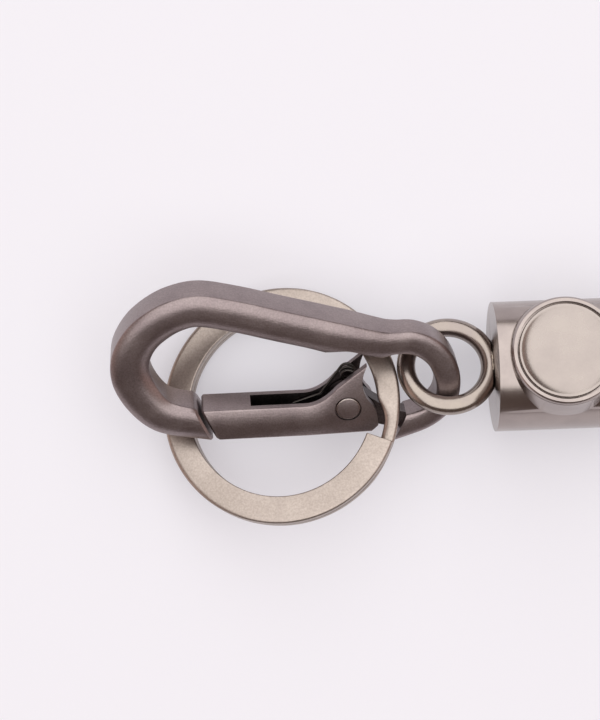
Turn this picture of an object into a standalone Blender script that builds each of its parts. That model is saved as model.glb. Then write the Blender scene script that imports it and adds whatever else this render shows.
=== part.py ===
"""Leather keychain: a die-cast snap hook with a sprung gate, a flat split ring,
a wire ring, a round ferrule with a medallion, and a folded leather strap.

It lies on a table, +Z up. The ferrule's axis runs along +X, the hook lies towards -X
and the strap towards +X. The origin ends up at the bottom centre of the whole box.
Lengths are in metres, written in millimetres through MM.
"""

import math

import bmesh
import bpy
from mathutils import Matrix, Vector

MM = 0.001

# Clearances between pieces that lie, turn or fit against each other
CUT_OVERRUN = 2.0 * MM
FIT_GAP = 0.15 * MM
CONTACT_GAP = 0.05 * MM
RUNNING_GAP = 0.3 * MM
NOSE_GAP = 0.5 * MM
CUT_CLEAR = 0.25 * MM
MERGE_DISTANCE = 0.0001 * MM

# Snap hook, measured in its own plane from the rivet: u along the gate, v across, n out of the face
BASKET_LENGTH = 28.7 * MM
BASKET_HEIGHT = 19.5 * MM
BAR_WIDTH = 4.2 * MM
WALL_HEIGHT = 4.3 * MM
CROWN = 0.6 * MM
EYE_LENGTH = 14.0 * MM
EYE_HEIGHT = 14.7 * MM
EYE_BAR_WIDTH = 3.1 * MM
EYE_CROWN = 0.4 * MM
EYE_WALL_HEIGHT = 3.8 * MM
PATH_STEPS = 4
CROWN_STEPS = 5

# Centre line of the cast bar from the nose round to the arm: u, v and the bar's width
# as shares of the basket's length and height and of the bar's width
BASKET_SHARES = (
    (-0.560, -0.040, 1.00),
    (-0.669, -0.032, 1.00),
    (-0.790, 0.025, 1.05),
    (-0.864, 0.141, 1.09),
    (-0.910, 0.300, 1.13),
    (-0.908, 0.440, 1.12),
    (-0.864, 0.569, 1.08),
    (-0.794, 0.665, 1.05),
    (-0.707, 0.733, 1.00),
    (-0.606, 0.756, 0.98),
    (-0.456, 0.703, 0.98),
    (-0.286, 0.620, 0.98),
    (-0.150, 0.560, 1.00),
    (-0.070, 0.522, 1.07),
)
# Centre line of the eye: u, v and how far the bar reaches outwards and inwards,
# as shares of the eye's length and height and of its bar's width
EYE_SHARES = (
    (0.036, 0.667, 0.56, 0.50),
    (0.186, 0.618, 0.53, 0.52),
    (0.336, 0.570, 0.54, 0.59),
    (0.443, 0.568, 0.49, 0.46),
    (0.586, 0.554, 0.52, 0.50),
    (0.711, 0.497, 0.53, 0.51),
    (0.814, 0.392, 0.52, 0.50),
    (0.875, 0.252, 0.52, 0.50),
    (0.893, 0.116, 0.48, 0.48),
    (0.864, -0.014, 0.47, 0.47),
    (0.779, -0.115, 0.44, 0.44),
    (0.657, -0.186, 0.46, 0.46),
    (0.500, -0.232, 0.48, 0.48),
    (0.357, -0.262, 0.48, 0.48),
)
# The bar has slimmed down to the eye's own thickness at this share of the eye's length
EYE_SLIM_SHARE = 0.586
# Slanted end of the spur, where the bar steps down to the tongue
SHOULDER_TOP_SHARES = (0.521, -0.120)
SHOULDER_BOTTOM_SHARES = (0.430, -0.300)

# Tongue, between the gate's cheeks
TONGUE_THICKNESS = 2.1 * MM
LUG_RADIUS = 2.3 * MM
TONGUE_TOP_SHARES = ((0.236, 0.020), (0.380, -0.085), (0.640, -0.160))
TONGUE_BOTTOM_SHARES = ((0.640, -0.240), (0.420, -0.262))
LUG_ARC_DEGREES = (52.0, 285.0)
LUG_STEPS = 20

# Gate
GATE_TOP = 0.6 * MM
GATE_HEIGHT = 4.2 * MM
GATE_RISE = 0.25 * MM
NOSE_JOINT_SHARE = 0.665
NOSE_JOINT_RUN = 2.3 * MM
FAN_FOOT = 5.2 * MM
FAN_FOOT_ARC = 2.0 * MM
FAN_PEAK = (2.45 * MM, 5.75 * MM)
FAN_SLOPE_FOOT = (1.25 * MM, 2.85 * MM)
FAN_BACK_PULL = (1.0 * MM, 2.1 * MM)
GATE_TAIL = 3.8 * MM
TAIL_CORNER = 0.9 * MM
CHANNEL_PLAY = 0.5 * MM
CHANNEL_WIDTH = TONGUE_THICKNESS + CHANNEL_PLAY
CHANNEL_START_SHARE = 0.415
CHANNEL_FLOOR = 1.3 * MM
FOOT_STEPS = 7

# Rivet
RIVET_SHANK = 0.95 * MM
RIVET_HEAD = 1.5 * MM
RIVET_HEAD_DEPTH = 0.55 * MM
RIVET_DOME = 0.15 * MM
RECESS_DEPTH = 0.6 * MM
RIVET_STEPS = 32

# Gate spring: a coil in the fan with one leg in the channel and one on the tongue
SPRING_WIRE = 0.35 * MM
SPRING_COIL_RADIUS = 0.85 * MM
SPRING_TURNS = 2
SPRING_TURN_POINTS = 10
SPRING_CENTRE = (0.25 * MM, 3.75 * MM)
SPRING_ELBOW = (-3.2 * MM, 0.5 * MM)
SPRING_TIP = (-6.6 * MM, -0.6 * MM)
SPRING_FOOT_DEGREES = 20.0
SPRING_FOOT = 1.8 * MM
LEG_POINTS = 5

# Split ring of flat wire, two turns
SPLIT_RADIUS = 15.0 * MM
SPLIT_BAND = 3.4 * MM
SPLIT_NECK = 1.75 * MM
SPLIT_LAYER = 1.05 * MM
SPLIT_LAYER_GAP = 0.1 * MM
SPLIT_CORNER = 0.3 * MM
SPLIT_TURNS = 2
SPLIT_STEP_DEGREES = 6.0
SPLIT_START_DEGREES = -21.0
SPLIT_DIVE_DEGREES = (3.0, -22.0)
SPLIT_LOWER_END_DEGREES = 35.0
SPLIT_TAPER_DEGREES = 60.0
# How much of the narrowing is done before the dive, and how much of the dive the rest takes
SPLIT_EARLY_TAPER_SHARE = 0.35
SPLIT_DIVE_TAPER_SHARE = 0.6

# Wire ring
WIRE_RING_RADIUS = 5.2 * MM
WIRE = 2.3 * MM
WIRE_RING_STEPS = 40
WIRE_STEPS = 12

# Bead of filler metal in the corner of wire ring and ferrule
BEAD_REACH = 0.75 * MM
BEAD_LENGTH = 1.7 * MM
BEAD_LIFT = 1.0 * MM
BEAD_STEPS = 24

# Ferrule with its boss
FERRULE_RADIUS = 8.0 * MM
FERRULE_LENGTH = 16.0 * MM
FERRULE_END_WALL = 3.2 * MM
FERRULE_SIDE_WALL = 1.1 * MM
FERRULE_CHAMFER = 0.25 * MM
WIRE_RING_SINK = 0.8 * MM
FERRULE_STEPS = 64
BOSS_TOP_RADIUS = 6.5 * MM
BOSS_PROUD = 0.9 * MM
BOSS_DRAFT_DEGREES = 9.0
BOSS_FOOT = 4.6 * MM
BOSS_BEVEL = 0.3 * MM
MEDALLION_RADIUS = 5.8 * MM
MEDALLION_THICKNESS = 0.9 * MM
MEDALLION_RIM = 0.3 * MM
MEDALLION_FIELD_DEPTH = 0.15 * MM

# Leather strap: one doubled strip, folded back to a loop
STRAP_WIDTH = 11.0 * MM
STRAP_LENGTH = 72.0 * MM
STRAP_TUCK = 11.5 * MM
OUTER_PLY = 1.2 * MM
LINING_PLY = 0.9 * MM
PLY_GAP = 0.15 * MM
LOOP_RADIUS = 4.2 * MM
STRAP_STEPS = 44
FOLD_STEPS = 14
STRAP_DROP_LENGTH = 40.0 * MM
STRAP_UNTWIST_LENGTH = 30.0 * MM
STRAP_SPREAD_LENGTH = 46.0 * MM
COLLAR_THICKNESS = 1.6 * MM
PIN_RADIUS = 1.0 * MM
PIN_BLIND = 0.7 * MM

# How the pieces lie
FERRULE_ROLL_DEGREES = -11.4
WIRE_RING_ROLL_DEGREES = -22.0
WIRE_RING_OFF_AXIS = 0.25 * MM
HOOK_YAW_DEGREES = -2.15
HOOK_ROLL_DEGREES = 29.5
HOOK_TILT_DEGREES = 4.0
HOOK_SPIN_DEGREES = 2.16
SPLIT_TILT_DEGREES = 16.93
SPLIT_TILT_TOWARDS_DEGREES = -51.25
# Where the wire ring and the split ring pass through the hook's eye, in its plane
WIRE_CROSSING = (7.537 * MM, 3.467 * MM, -0.733 * MM)
SPLIT_CROSSING = (4.93 * MM, 1.53 * MM, -0.49 * MM)
SPLIT_CROSSING_DEGREES = 8.7

GUNMETAL = (0.150, 0.130, 0.125, 1.0)
GUNMETAL_LIGHT = (0.420, 0.380, 0.345, 1.0)
SPRING_STEEL = (0.450, 0.450, 0.440, 1.0)
LEATHER = (0.035, 0.024, 0.018, 1.0)
LINING = (0.070, 0.046, 0.032, 1.0)


def clear_scene():
    for thing in list(bpy.data.objects):
        bpy.data.objects.remove(thing, do_unlink=True)


def principled(name, colour, metallic, roughness):
    material = bpy.data.materials.new(name)
    material.use_nodes = True
    shader = material.node_tree.nodes["Principled BSDF"]
    shader.inputs["Base Color"].default_value = colour
    shader.inputs["Metallic"].default_value = metallic
    shader.inputs["Roughness"].default_value = roughness
    return material


def add_object(name, data, colour=GUNMETAL, metallic=1.0, roughness=0.4):
    """Puts a mesh or curve in the scene under its part's name, with its own material."""
    thing = bpy.data.objects.new(name, data)
    bpy.context.scene.collection.objects.link(thing)
    data.materials.append(principled(name + "_finish", colour, metallic, roughness))
    return thing


def mesh_from(name, shape, crease_degrees=35.0):
    """Turns a bmesh into a mesh whose round faces are shaded smooth."""
    bmesh.ops.recalc_face_normals(shape, faces=shape.faces)
    mesh = bpy.data.meshes.new(name)
    shape.to_mesh(mesh)
    shape.free()
    mesh.shade_smooth()
    mesh.set_sharp_from_angle(angle=math.radians(crease_degrees))
    return mesh


def cutter(name, mesh):
    thing = bpy.data.objects.new(name, mesh)
    bpy.context.scene.collection.objects.link(thing)
    thing.hide_render = True
    thing.display_type = "WIRE"
    return thing


def boolean(target, tool, operation):
    """The tool keeps its place relative to its target, so it becomes its child."""
    tool.parent = target
    modifier = target.modifiers.new(tool.name, "BOOLEAN")
    modifier.object = tool
    modifier.operation = operation
    modifier.solver = "EXACT"


def empty(name, world, parent=None):
    thing = bpy.data.objects.new(name, None)
    bpy.context.scene.collection.objects.link(thing)
    seat(thing, world, parent)
    return thing


def seat(thing, world, parent=None):
    """Gives an object its place in the world, under its parent."""
    thing.parent = parent
    bpy.context.view_layer.update()
    thing.matrix_world = world
    bpy.context.view_layer.update()


def turn(degrees, axis):
    return Matrix.Rotation(math.radians(degrees), 4, axis)


def shift(x, y, z):
    return Matrix.Translation((x, y, z))


def smooth(share):
    """Eases a share from 0 to 1 with level ends."""
    share = min(max(share, 0.0), 1.0)
    return share * share * (3.0 - 2.0 * share)


def mix(start, end, share):
    return start + (end - start) * share


def catmull_rom(points, steps):
    """Rows of numbers read from a smooth curve through the given rows."""
    rows = []
    for i in range(len(points) - 1):
        p0 = points[max(i - 1, 0)]
        p1 = points[i]
        p2 = points[i + 1]
        p3 = points[min(i + 2, len(points) - 1)]
        for k in range(steps):
            t = k / steps
            row = []
            for a, b, c, d in zip(p0, p1, p2, p3):
                row.append(
                    0.5 * (2 * b + (c - a) * t + (2 * a - 5 * b + 4 * c - d) * t * t
                           + (3 * b - a - 3 * c + d) * t * t * t)
                )
            rows.append(tuple(row))
    rows.append(tuple(points[-1]))
    return rows


def arc(centre, radius, start_degrees, end_degrees, steps):
    points = []
    for k in range(steps + 1):
        angle = math.radians(mix(start_degrees, end_degrees, k / steps))
        points.append((centre[0] + radius * math.cos(angle), centre[1] + radius * math.sin(angle)))
    return points


def bezier(start, pull, end, steps):
    points = []
    for k in range(steps + 1):
        t = k / steps
        points.append(tuple(
            (1 - t) ** 2 * a + 2 * t * (1 - t) * b + t * t * c for a, b, c in zip(start, pull, end)
        ))
    return points


def loft(sections):
    """Pulls one end face through a row of sections with as many points each."""
    shape = bmesh.new()
    cap = shape.faces.new([shape.verts.new(point) for point in sections[0]])
    for section in sections[1:]:
        pulled = bmesh.ops.extrude_face_region(shape, geom=[cap, *cap.edges])["geom"]
        cap = next(part for part in pulled if isinstance(part, bmesh.types.BMFace))
        for vertex, point in zip(cap.verts, section):
            vertex.co = point
    return shape


def plate(outline, bottom, top):
    """A straight prism over an outline in the XY plane."""
    low = [(x, y, bottom) for x, y in outline]
    high = [(x, y, top) for x, y in outline]
    return loft([low, high])


def block(low, high):
    outline = [(low[0], low[1]), (high[0], low[1]), (high[0], high[1]), (low[0], high[1])]
    return plate(outline, low[2], high[2])


def turned(profile, steps):
    """Spins a profile of radius and height, from the axis out and back, about Z."""
    shape = bmesh.new()
    row = [shape.verts.new((radius, 0.0, height)) for radius, height in profile]
    for a, b in zip(row, row[1:]):
        shape.edges.new((a, b))
    bmesh.ops.spin(
        shape, geom=shape.verts[:] + shape.edges[:], axis=(0, 0, 1), cent=(0, 0, 0),
        dvec=(0, 0, 0), angle=math.tau, steps=steps, use_merge=True,
    )
    bmesh.ops.remove_doubles(shape, verts=shape.verts, dist=MERGE_DISTANCE)
    return shape


def rod(radius, bottom, top, steps):
    return turned([(0.0, bottom), (radius, bottom), (radius, top), (0.0, top)], steps)


def crowned_section(centre, across, outer, inner, wall, crown):
    """One section of the cast bar: flat side walls and two crowned faces."""
    half_wall = wall / 2
    middle = (outer - inner) / 2
    half = (outer + inner) / 2
    points = []
    for side in (1, -1):
        for k in range(CROWN_STEPS + 1):
            share = side * (1 - 2 * k / CROWN_STEPS)
            height = side * (half_wall + crown * (1 - share * share))
            place = centre + across * (middle + share * half)
            points.append(Vector((place.x, place.y, height)))
    return points


def bar_stations():
    """The cast bar's centre line with its reach outwards and inwards and its crown."""
    rows = []
    for u, v, width in BASKET_SHARES:
        half = width * BAR_WIDTH / 2
        rows.append((u * BASKET_LENGTH, v * BASKET_HEIGHT, half, half, WALL_HEIGHT, CROWN))
    for u, v, outer, inner in EYE_SHARES:
        share = smooth(u / EYE_SLIM_SHARE)
        rows.append((
            u * EYE_LENGTH, v * EYE_HEIGHT, outer * EYE_BAR_WIDTH, inner * EYE_BAR_WIDTH,
            mix(WALL_HEIGHT, EYE_WALL_HEIGHT, share), mix(CROWN, EYE_CROWN, share),
        ))
    return catmull_rom(rows, PATH_STEPS)


def cast_bar():
    rows = bar_stations()
    sections = []
    for i, (u, v, outer, inner, wall, crown) in enumerate(rows):
        before = rows[max(i - 1, 0)]
        after = rows[min(i + 1, len(rows) - 1)]
        along = Vector((after[0] - before[0], after[1] - before[1])).normalized()
        across = Vector((-along.y, along.x))
        sections.append(crowned_section(Vector((u, v)), across, outer, inner, wall, crown))
    corner, away = nose_joint()
    sections.reverse()
    end_on_plane(sections, corner - away * NOSE_GAP, away)
    sections.reverse()
    top = Vector((*eye_point(SHOULDER_TOP_SHARES), 0.0))
    down = Vector((*eye_point(SHOULDER_BOTTOM_SHARES), 0.0)) - top
    end_on_plane(sections, top, Vector((down.y, -down.x, 0.0)).normalized())
    return loft(sections)


def end_on_plane(sections, point, away):
    """Drops the last sections that reach past a slanted plane and ends the row on it."""
    while any((corner - point).dot(away) > -CUT_CLEAR for corner in sections[-1]):
        sections.pop()
    along = (sections[-1][0] - sections[-2][0]).normalized()
    sections.append([
        corner + along * ((point - corner).dot(away) / along.dot(away)) for corner in sections[-1]
    ])


def nose_joint():
    """The gate's top corner at the nose joint, and the joint's direction away from the nose."""
    corner = Vector((-NOSE_JOINT_SHARE * BASKET_LENGTH + NOSE_GAP, GATE_TOP + GATE_RISE, 0.0))
    face = Vector((NOSE_JOINT_RUN, -GATE_HEIGHT, 0.0)).normalized()
    return corner, Vector((-face.y, face.x, 0.0))


def eye_point(shares):
    return (shares[0] * EYE_LENGTH, shares[1] * EYE_HEIGHT)


def make_hook_frame():
    """Cast hook: nose, round basket, arm, eye and spur, with the tongue joined on."""
    frame = add_object("hook_frame", mesh_from("hook_frame", cast_bar()), GUNMETAL, 1.0, 0.42)
    outline = arc((0.0, 0.0), LUG_RADIUS, LUG_ARC_DEGREES[0], LUG_ARC_DEGREES[1], LUG_STEPS)
    outline += [eye_point(shares) for shares in reversed(TONGUE_BOTTOM_SHARES)]
    outline += [eye_point(shares) for shares in reversed(TONGUE_TOP_SHARES)]
    tongue = plate(outline, -TONGUE_THICKNESS / 2, TONGUE_THICKNESS / 2)
    boolean(frame, cutter("cut_tongue", mesh_from("cut_tongue", tongue)), "UNION")
    hole = rod(RIVET_SHANK + FIT_GAP, -TONGUE_THICKNESS, TONGUE_THICKNESS, RIVET_STEPS)
    boolean(frame, cutter("cut_tongue_hole", mesh_from("cut_tongue_hole", hole)), "DIFFERENCE")
    return frame


def gate_bar():
    """Straight bar with a concave foot that climbs into the fan, crowned like the hook."""
    corner, away = nose_joint()
    bottom = GATE_TOP - GATE_HEIGHT
    edges = [(corner.x + NOSE_JOINT_RUN + NOSE_GAP, GATE_TOP + GATE_RISE, bottom + GATE_RISE)]
    foot = bezier(
        (-FAN_FOOT, GATE_TOP), (-FAN_FOOT + FAN_FOOT_ARC, GATE_TOP),
        (-FAN_SLOPE_FOOT[0], FAN_SLOPE_FOOT[1]), FOOT_STEPS,
    )
    edges += [(u, top, bottom) for u, top in foot]
    climb = (FAN_PEAK[1] - foot[-1][1]) / (FAN_PEAK[0] - foot[-1][0])
    end = GATE_TAIL + CUT_OVERRUN
    edges.append((end, foot[-1][1] + climb * (end - foot[-1][0]), bottom))
    across = Vector((0.0, 1.0))
    sections = []
    for u, top, low in edges:
        half = (top - low) / 2
        sections.append(crowned_section(Vector((u, top - half)), across, half, half, WALL_HEIGHT, CROWN))
    sections.reverse()
    end_on_plane(sections, corner, -away)
    return loft(sections)


def fan_back():
    """What the fan's hollow back edge leaves out, as a prism."""
    bottom = GATE_TOP - GATE_HEIGHT
    far = GATE_TAIL + 2 * CUT_OVERRUN
    high = FAN_PEAK[1] + 2 * CUT_OVERRUN
    outline = [(FAN_PEAK[0], high), FAN_PEAK]
    outline += bezier(FAN_PEAK, FAN_BACK_PULL, (GATE_TAIL, bottom + TAIL_CORNER), FOOT_STEPS)[1:]
    outline += [(GATE_TAIL - TAIL_CORNER, bottom), (GATE_TAIL - TAIL_CORNER, bottom - CUT_OVERRUN)]
    outline += [(far, bottom - CUT_OVERRUN), (far, high)]
    reach = WALL_HEIGHT / 2 + CROWN + CUT_OVERRUN
    return plate(outline, -reach, reach)


def make_gate():
    """Sprung gate: a bar with a channel in it that opens into a fan of two cheeks."""
    gate = add_object("hook_gate", mesh_from("hook_gate", gate_bar()), GUNMETAL, 1.0, 0.42)
    boolean(gate, cutter("cut_fan_back", mesh_from("cut_fan_back", fan_back())), "DIFFERENCE")
    half = CHANNEL_WIDTH / 2
    start = -CHANNEL_START_SHARE * BASKET_LENGTH
    floor = GATE_TOP - GATE_HEIGHT + CHANNEL_FLOOR
    high = FAN_PEAK[1] + CUT_OVERRUN
    channel = block((start, floor, -half), (GATE_TAIL + CUT_OVERRUN, high, half))
    boolean(gate, cutter("cut_channel", mesh_from("cut_channel", channel)), "DIFFERENCE")
    low = GATE_TOP - GATE_HEIGHT - CUT_OVERRUN
    mouth = block((-LUG_RADIUS - RUNNING_GAP, low, -half), (GATE_TAIL + CUT_OVERRUN, high, half))
    boolean(gate, cutter("cut_mouth", mesh_from("cut_mouth", mouth)), "DIFFERENCE")
    reach = WALL_HEIGHT / 2 + CROWN + CUT_OVERRUN
    hole = rod(RIVET_SHANK + FIT_GAP, -reach, reach, RIVET_STEPS)
    boolean(gate, cutter("cut_gate_hole", mesh_from("cut_gate_hole", hole)), "DIFFERENCE")
    recess_floor = WALL_HEIGHT / 2 + CROWN - RECESS_DEPTH
    for side, name in ((1, "cut_front_recess"), (-1, "cut_rear_recess")):
        ends = sorted((side * recess_floor, side * reach))
        recess = rod(RIVET_HEAD + FIT_GAP, ends[0], ends[1], RIVET_STEPS)
        boolean(gate, cutter(name, mesh_from(name, recess)), "DIFFERENCE")
    return gate


def make_gate_rivet():
    """Rivet through both cheeks and the tongue, with a low domed head at each end."""
    seat_height = WALL_HEIGHT / 2 + CROWN - RECESS_DEPTH + FIT_GAP
    edge = seat_height + RIVET_HEAD_DEPTH - RIVET_DOME
    top = seat_height + RIVET_HEAD_DEPTH
    half = [(0.0, top), (RIVET_HEAD / 2, top - RIVET_DOME / 4), (RIVET_HEAD, edge - RIVET_DOME),
            (RIVET_HEAD, seat_height), (RIVET_SHANK, seat_height)]
    profile = half + [(radius, -height) for radius, height in reversed(half)]
    shape = turned(profile, RIVET_STEPS)
    return add_object("gate_rivet", mesh_from("gate_rivet", shape), GUNMETAL, 1.0, 0.32)


def spring_points():
    """Leg in the channel, a coil in the fan, and a foot that ends over the tongue."""
    centre = Vector(SPRING_CENTRE)
    elbow = Vector(SPRING_ELBOW)
    radius = SPRING_COIL_RADIUS
    reach = centre - elbow
    start = math.atan2(reach.y, reach.x) + math.asin(radius / reach.length) + math.pi / 2
    end = math.radians(SPRING_FOOT_DEGREES) - math.tau * SPRING_TURNS
    count = round((start - end) / math.tau * SPRING_TURN_POINTS)
    width = CHANNEL_WIDTH - SPRING_WIRE - 2 * FIT_GAP
    points = []
    for k in range(LEG_POINTS):
        place = Vector(SPRING_TIP).lerp(elbow, k / LEG_POINTS)
        points.append((*place, -width / 2))
    first = centre + Vector((math.cos(start), math.sin(start))) * radius
    for k in range(LEG_POINTS):
        points.append((*elbow.lerp(first, k / LEG_POINTS), -width / 2))
    for k in range(count + 1):
        angle = mix(start, end, k / count)
        place = centre + Vector((math.cos(angle), math.sin(angle))) * radius
        points.append((*place, mix(-width / 2, width / 2, k / count)))
    foot = place + Vector((math.sin(end), -math.cos(end))) * SPRING_FOOT
    points.append((*foot, width / 2))
    return points


def print_spring_gap(points):
    """Least gap between the coil's turns, for the report."""
    least = math.inf
    for i, first in enumerate(points):
        for second in points[i + SPRING_TURN_POINTS // 2:]:
            least = min(least, (Vector(first) - Vector(second)).length - SPRING_WIRE)
    print("least gap of the spring to itself in mm", round(least / MM, 3))


def tube(name, points, radius, colour, roughness):
    curve = bpy.data.curves.new(name, "CURVE")
    curve.dimensions = "3D"
    spline = curve.splines.new("POLY")
    spline.points.add(len(points) - 1)
    for knot, point in zip(spline.points, points):
        knot.co = (*point, 1.0)
    curve.bevel_depth = radius
    curve.bevel_resolution = 1
    curve.use_fill_caps = True
    return add_object(name, curve, colour, 1.0, roughness)


def make_gate_spring():
    points = spring_points()
    print_spring_gap(points)
    return tube("gate_spring", points, SPRING_WIRE / 2, SPRING_STEEL, 0.3)


def split_station(degrees):
    """Height, band width and corner of the split ring's wire at a travelled angle."""
    place = SPLIT_START_DEGREES - degrees
    high = (SPLIT_LAYER + SPLIT_LAYER_GAP) / 2
    dive_start = place - (SPLIT_DIVE_DEGREES[0] - 360.0)
    dive_length = SPLIT_DIVE_DEGREES[0] - SPLIT_DIVE_DEGREES[1]
    height = mix(high, -high, smooth(-dive_start / dive_length))
    before = min(max((place + 360.0 - SPLIT_DIVE_DEGREES[0]) / SPLIT_TAPER_DEGREES, 0.0), 1.0)
    after = min(max((SPLIT_DIVE_DEGREES[1] - 360.0 - place) / dive_length, 0.0), 1.0)
    window = SPLIT_BAND - (SPLIT_BAND - SPLIT_NECK) * SPLIT_EARLY_TAPER_SHARE * (1 - before)
    into = smooth(-dive_start / (dive_length * SPLIT_DIVE_TAPER_SHARE))
    out = smooth(after)
    width = mix(mix(window, SPLIT_NECK, into), SPLIT_BAND, out)
    return place, height, width


def make_split_ring():
    """Two turns of flat wire: the upper turn dives beneath its own cut end."""
    travel = SPLIT_TURNS * 360.0 - (SPLIT_LOWER_END_DEGREES - SPLIT_START_DEGREES)
    steps = round(travel / SPLIT_STEP_DEGREES)
    half = SPLIT_LAYER / 2
    cut = SPLIT_CORNER
    sections = []
    for k in range(steps + 1):
        place, height, width = split_station(travel * k / steps)
        out = Vector((math.cos(math.radians(place)), math.sin(math.radians(place)), 0.0))
        outer = SPLIT_RADIUS
        inner = SPLIT_RADIUS - width
        profile = [(outer, half - cut), (outer - cut, half), (inner + cut, half), (inner, half - cut),
                   (inner, cut - half), (inner + cut, -half), (outer - cut, -half), (outer, cut - half)]
        sections.append([out * radius + Vector((0, 0, height + level)) for radius, level in profile])
    return add_object("split_ring", mesh_from("split_ring", loft(sections)), GUNMETAL_LIGHT, 1.0, 0.35)


def torus(radius, wire_radius):
    shape = bmesh.new()
    bmesh.ops.create_circle(shape, cap_ends=False, segments=WIRE_STEPS, radius=wire_radius)
    bmesh.ops.rotate(shape, verts=shape.verts, matrix=Matrix.Rotation(math.pi / 2, 3, "X"))
    bmesh.ops.translate(shape, verts=shape.verts, vec=(radius, 0, 0))
    bmesh.ops.spin(
        shape, geom=shape.verts[:] + shape.edges[:], axis=(0, 0, 1), cent=(0, 0, 0),
        dvec=(0, 0, 0), angle=math.tau, steps=WIRE_RING_STEPS, use_merge=True,
    )
    return shape


def make_wire_ring():
    shape = torus(WIRE_RING_RADIUS, WIRE / 2)
    return add_object("wire_ring", mesh_from("wire_ring", shape), GUNMETAL, 1.0, 0.15)


def make_braze_bead():
    """Filler metal on the ring's upper side, made in the ring's lie and cut to its neighbours."""
    edge = WIRE_RING_RADIUS + WIRE / 2 - WIRE_RING_SINK
    shape = bmesh.new()
    bmesh.ops.create_uvsphere(shape, u_segments=BEAD_STEPS, v_segments=BEAD_STEPS // 2, radius=BEAD_REACH)
    bmesh.ops.scale(shape, verts=shape.verts, vec=(1.0, BEAD_LENGTH / BEAD_REACH, 1.0))
    bmesh.ops.translate(shape, verts=shape.verts, vec=(edge, 0.0, BEAD_LIFT))
    bead = add_object("braze_bead", mesh_from("braze_bead", shape), GUNMETAL_LIGHT, 1.0, 0.2)
    wire = torus(WIRE_RING_RADIUS, WIRE / 2 + CONTACT_GAP)
    boolean(bead, cutter("cut_bead_wire", mesh_from("cut_bead_wire", wire)), "DIFFERENCE")
    reach = BEAD_LENGTH + CUT_OVERRUN
    face = block((edge - CONTACT_GAP, -reach, -reach), (edge + reach, reach, reach + CUT_OVERRUN))
    boolean(bead, cutter("cut_bead_face", mesh_from("cut_bead_face", face)), "DIFFERENCE")
    return bead


def boss_height():
    return FERRULE_RADIUS + BOSS_PROUD


def medallion_floor():
    """Height over the axis of the pocket that the medallion lies in."""
    return boss_height() - MEDALLION_THICKNESS - FIT_GAP


def make_ferrule(ring_world, ferrule_world):
    """Cast cup with a round boss. Its axis is X and the boss stands up along Z."""
    radius = FERRULE_RADIUS
    chamfer = FERRULE_CHAMFER
    length = FERRULE_LENGTH
    profile = [(0.0, 0.0), (radius - chamfer, 0.0), (radius, chamfer), (radius, length - chamfer),
               (radius - chamfer, length), (0.0, length)]
    shape = turned(profile, FERRULE_STEPS)
    bmesh.ops.rotate(shape, verts=shape.verts, matrix=Matrix.Rotation(math.pi / 2, 3, "Y"))
    body = add_object("ferrule_body", mesh_from("ferrule_body", shape), GUNMETAL, 1.0, 0.25)
    seat(body, ferrule_world)
    groove = torus(WIRE_RING_RADIUS, WIRE / 2 + FIT_GAP)
    tool = cutter("cut_ring_groove", mesh_from("cut_ring_groove", groove))
    boolean(body, tool, "DIFFERENCE")
    bpy.context.view_layer.update()
    tool.matrix_world = ring_world
    middle = length / 2
    top = boss_height()
    foot_radius = BOSS_TOP_RADIUS + (top - BOSS_FOOT) * math.tan(math.radians(BOSS_DRAFT_DEGREES))
    boss = turned([(0.0, BOSS_FOOT), (foot_radius, BOSS_FOOT), (BOSS_TOP_RADIUS, top - BOSS_BEVEL),
                   (BOSS_TOP_RADIUS - BOSS_BEVEL, top), (0.0, top)], FERRULE_STEPS)
    bmesh.ops.translate(boss, verts=boss.verts, vec=(middle, 0, 0))
    boolean(body, cutter("cut_boss", mesh_from("cut_boss", boss)), "UNION")
    bore = rod(radius - FERRULE_SIDE_WALL, FERRULE_END_WALL, length + CUT_OVERRUN, FERRULE_STEPS)
    bmesh.ops.rotate(bore, verts=bore.verts, matrix=Matrix.Rotation(math.pi / 2, 3, "Y"))
    boolean(body, cutter("cut_bore", mesh_from("cut_bore", bore)), "DIFFERENCE")
    pocket = rod(MEDALLION_RADIUS + FIT_GAP, medallion_floor(), top + CUT_OVERRUN, FERRULE_STEPS)
    bmesh.ops.translate(pocket, verts=pocket.verts, vec=(middle, 0, 0))
    boolean(body, cutter("cut_pocket", mesh_from("cut_pocket", pocket)), "DIFFERENCE")
    pin_hole = rod(PIN_RADIUS + FIT_GAP, pin_bottom() - FIT_GAP, top, RIVET_STEPS)
    bmesh.ops.translate(pin_hole, verts=pin_hole.verts, vec=(middle, 0, 0))
    boolean(body, cutter("cut_pin_hole", mesh_from("cut_pin_hole", pin_hole)), "DIFFERENCE")
    return body


def make_medallion():
    """Plain disc with a fine raised rim, let into the boss."""
    bottom = medallion_floor() + FIT_GAP
    top = boss_height()
    field = top - MEDALLION_FIELD_DEPTH
    inner = MEDALLION_RADIUS - MEDALLION_RIM
    profile = [(0.0, bottom), (MEDALLION_RADIUS, bottom), (MEDALLION_RADIUS, top), (inner, top),
               (inner - MEDALLION_FIELD_DEPTH, field), (0.0, field)]
    shape = turned(profile, FERRULE_STEPS)
    bmesh.ops.translate(shape, verts=shape.verts, vec=(FERRULE_LENGTH / 2, 0, 0))
    return add_object("badge_medallion", mesh_from("badge_medallion", shape), GUNMETAL_LIGHT, 1.0, 0.3)


def pin_bottom():
    return -(FERRULE_RADIUS - FERRULE_SIDE_WALL + PIN_BLIND)


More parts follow.
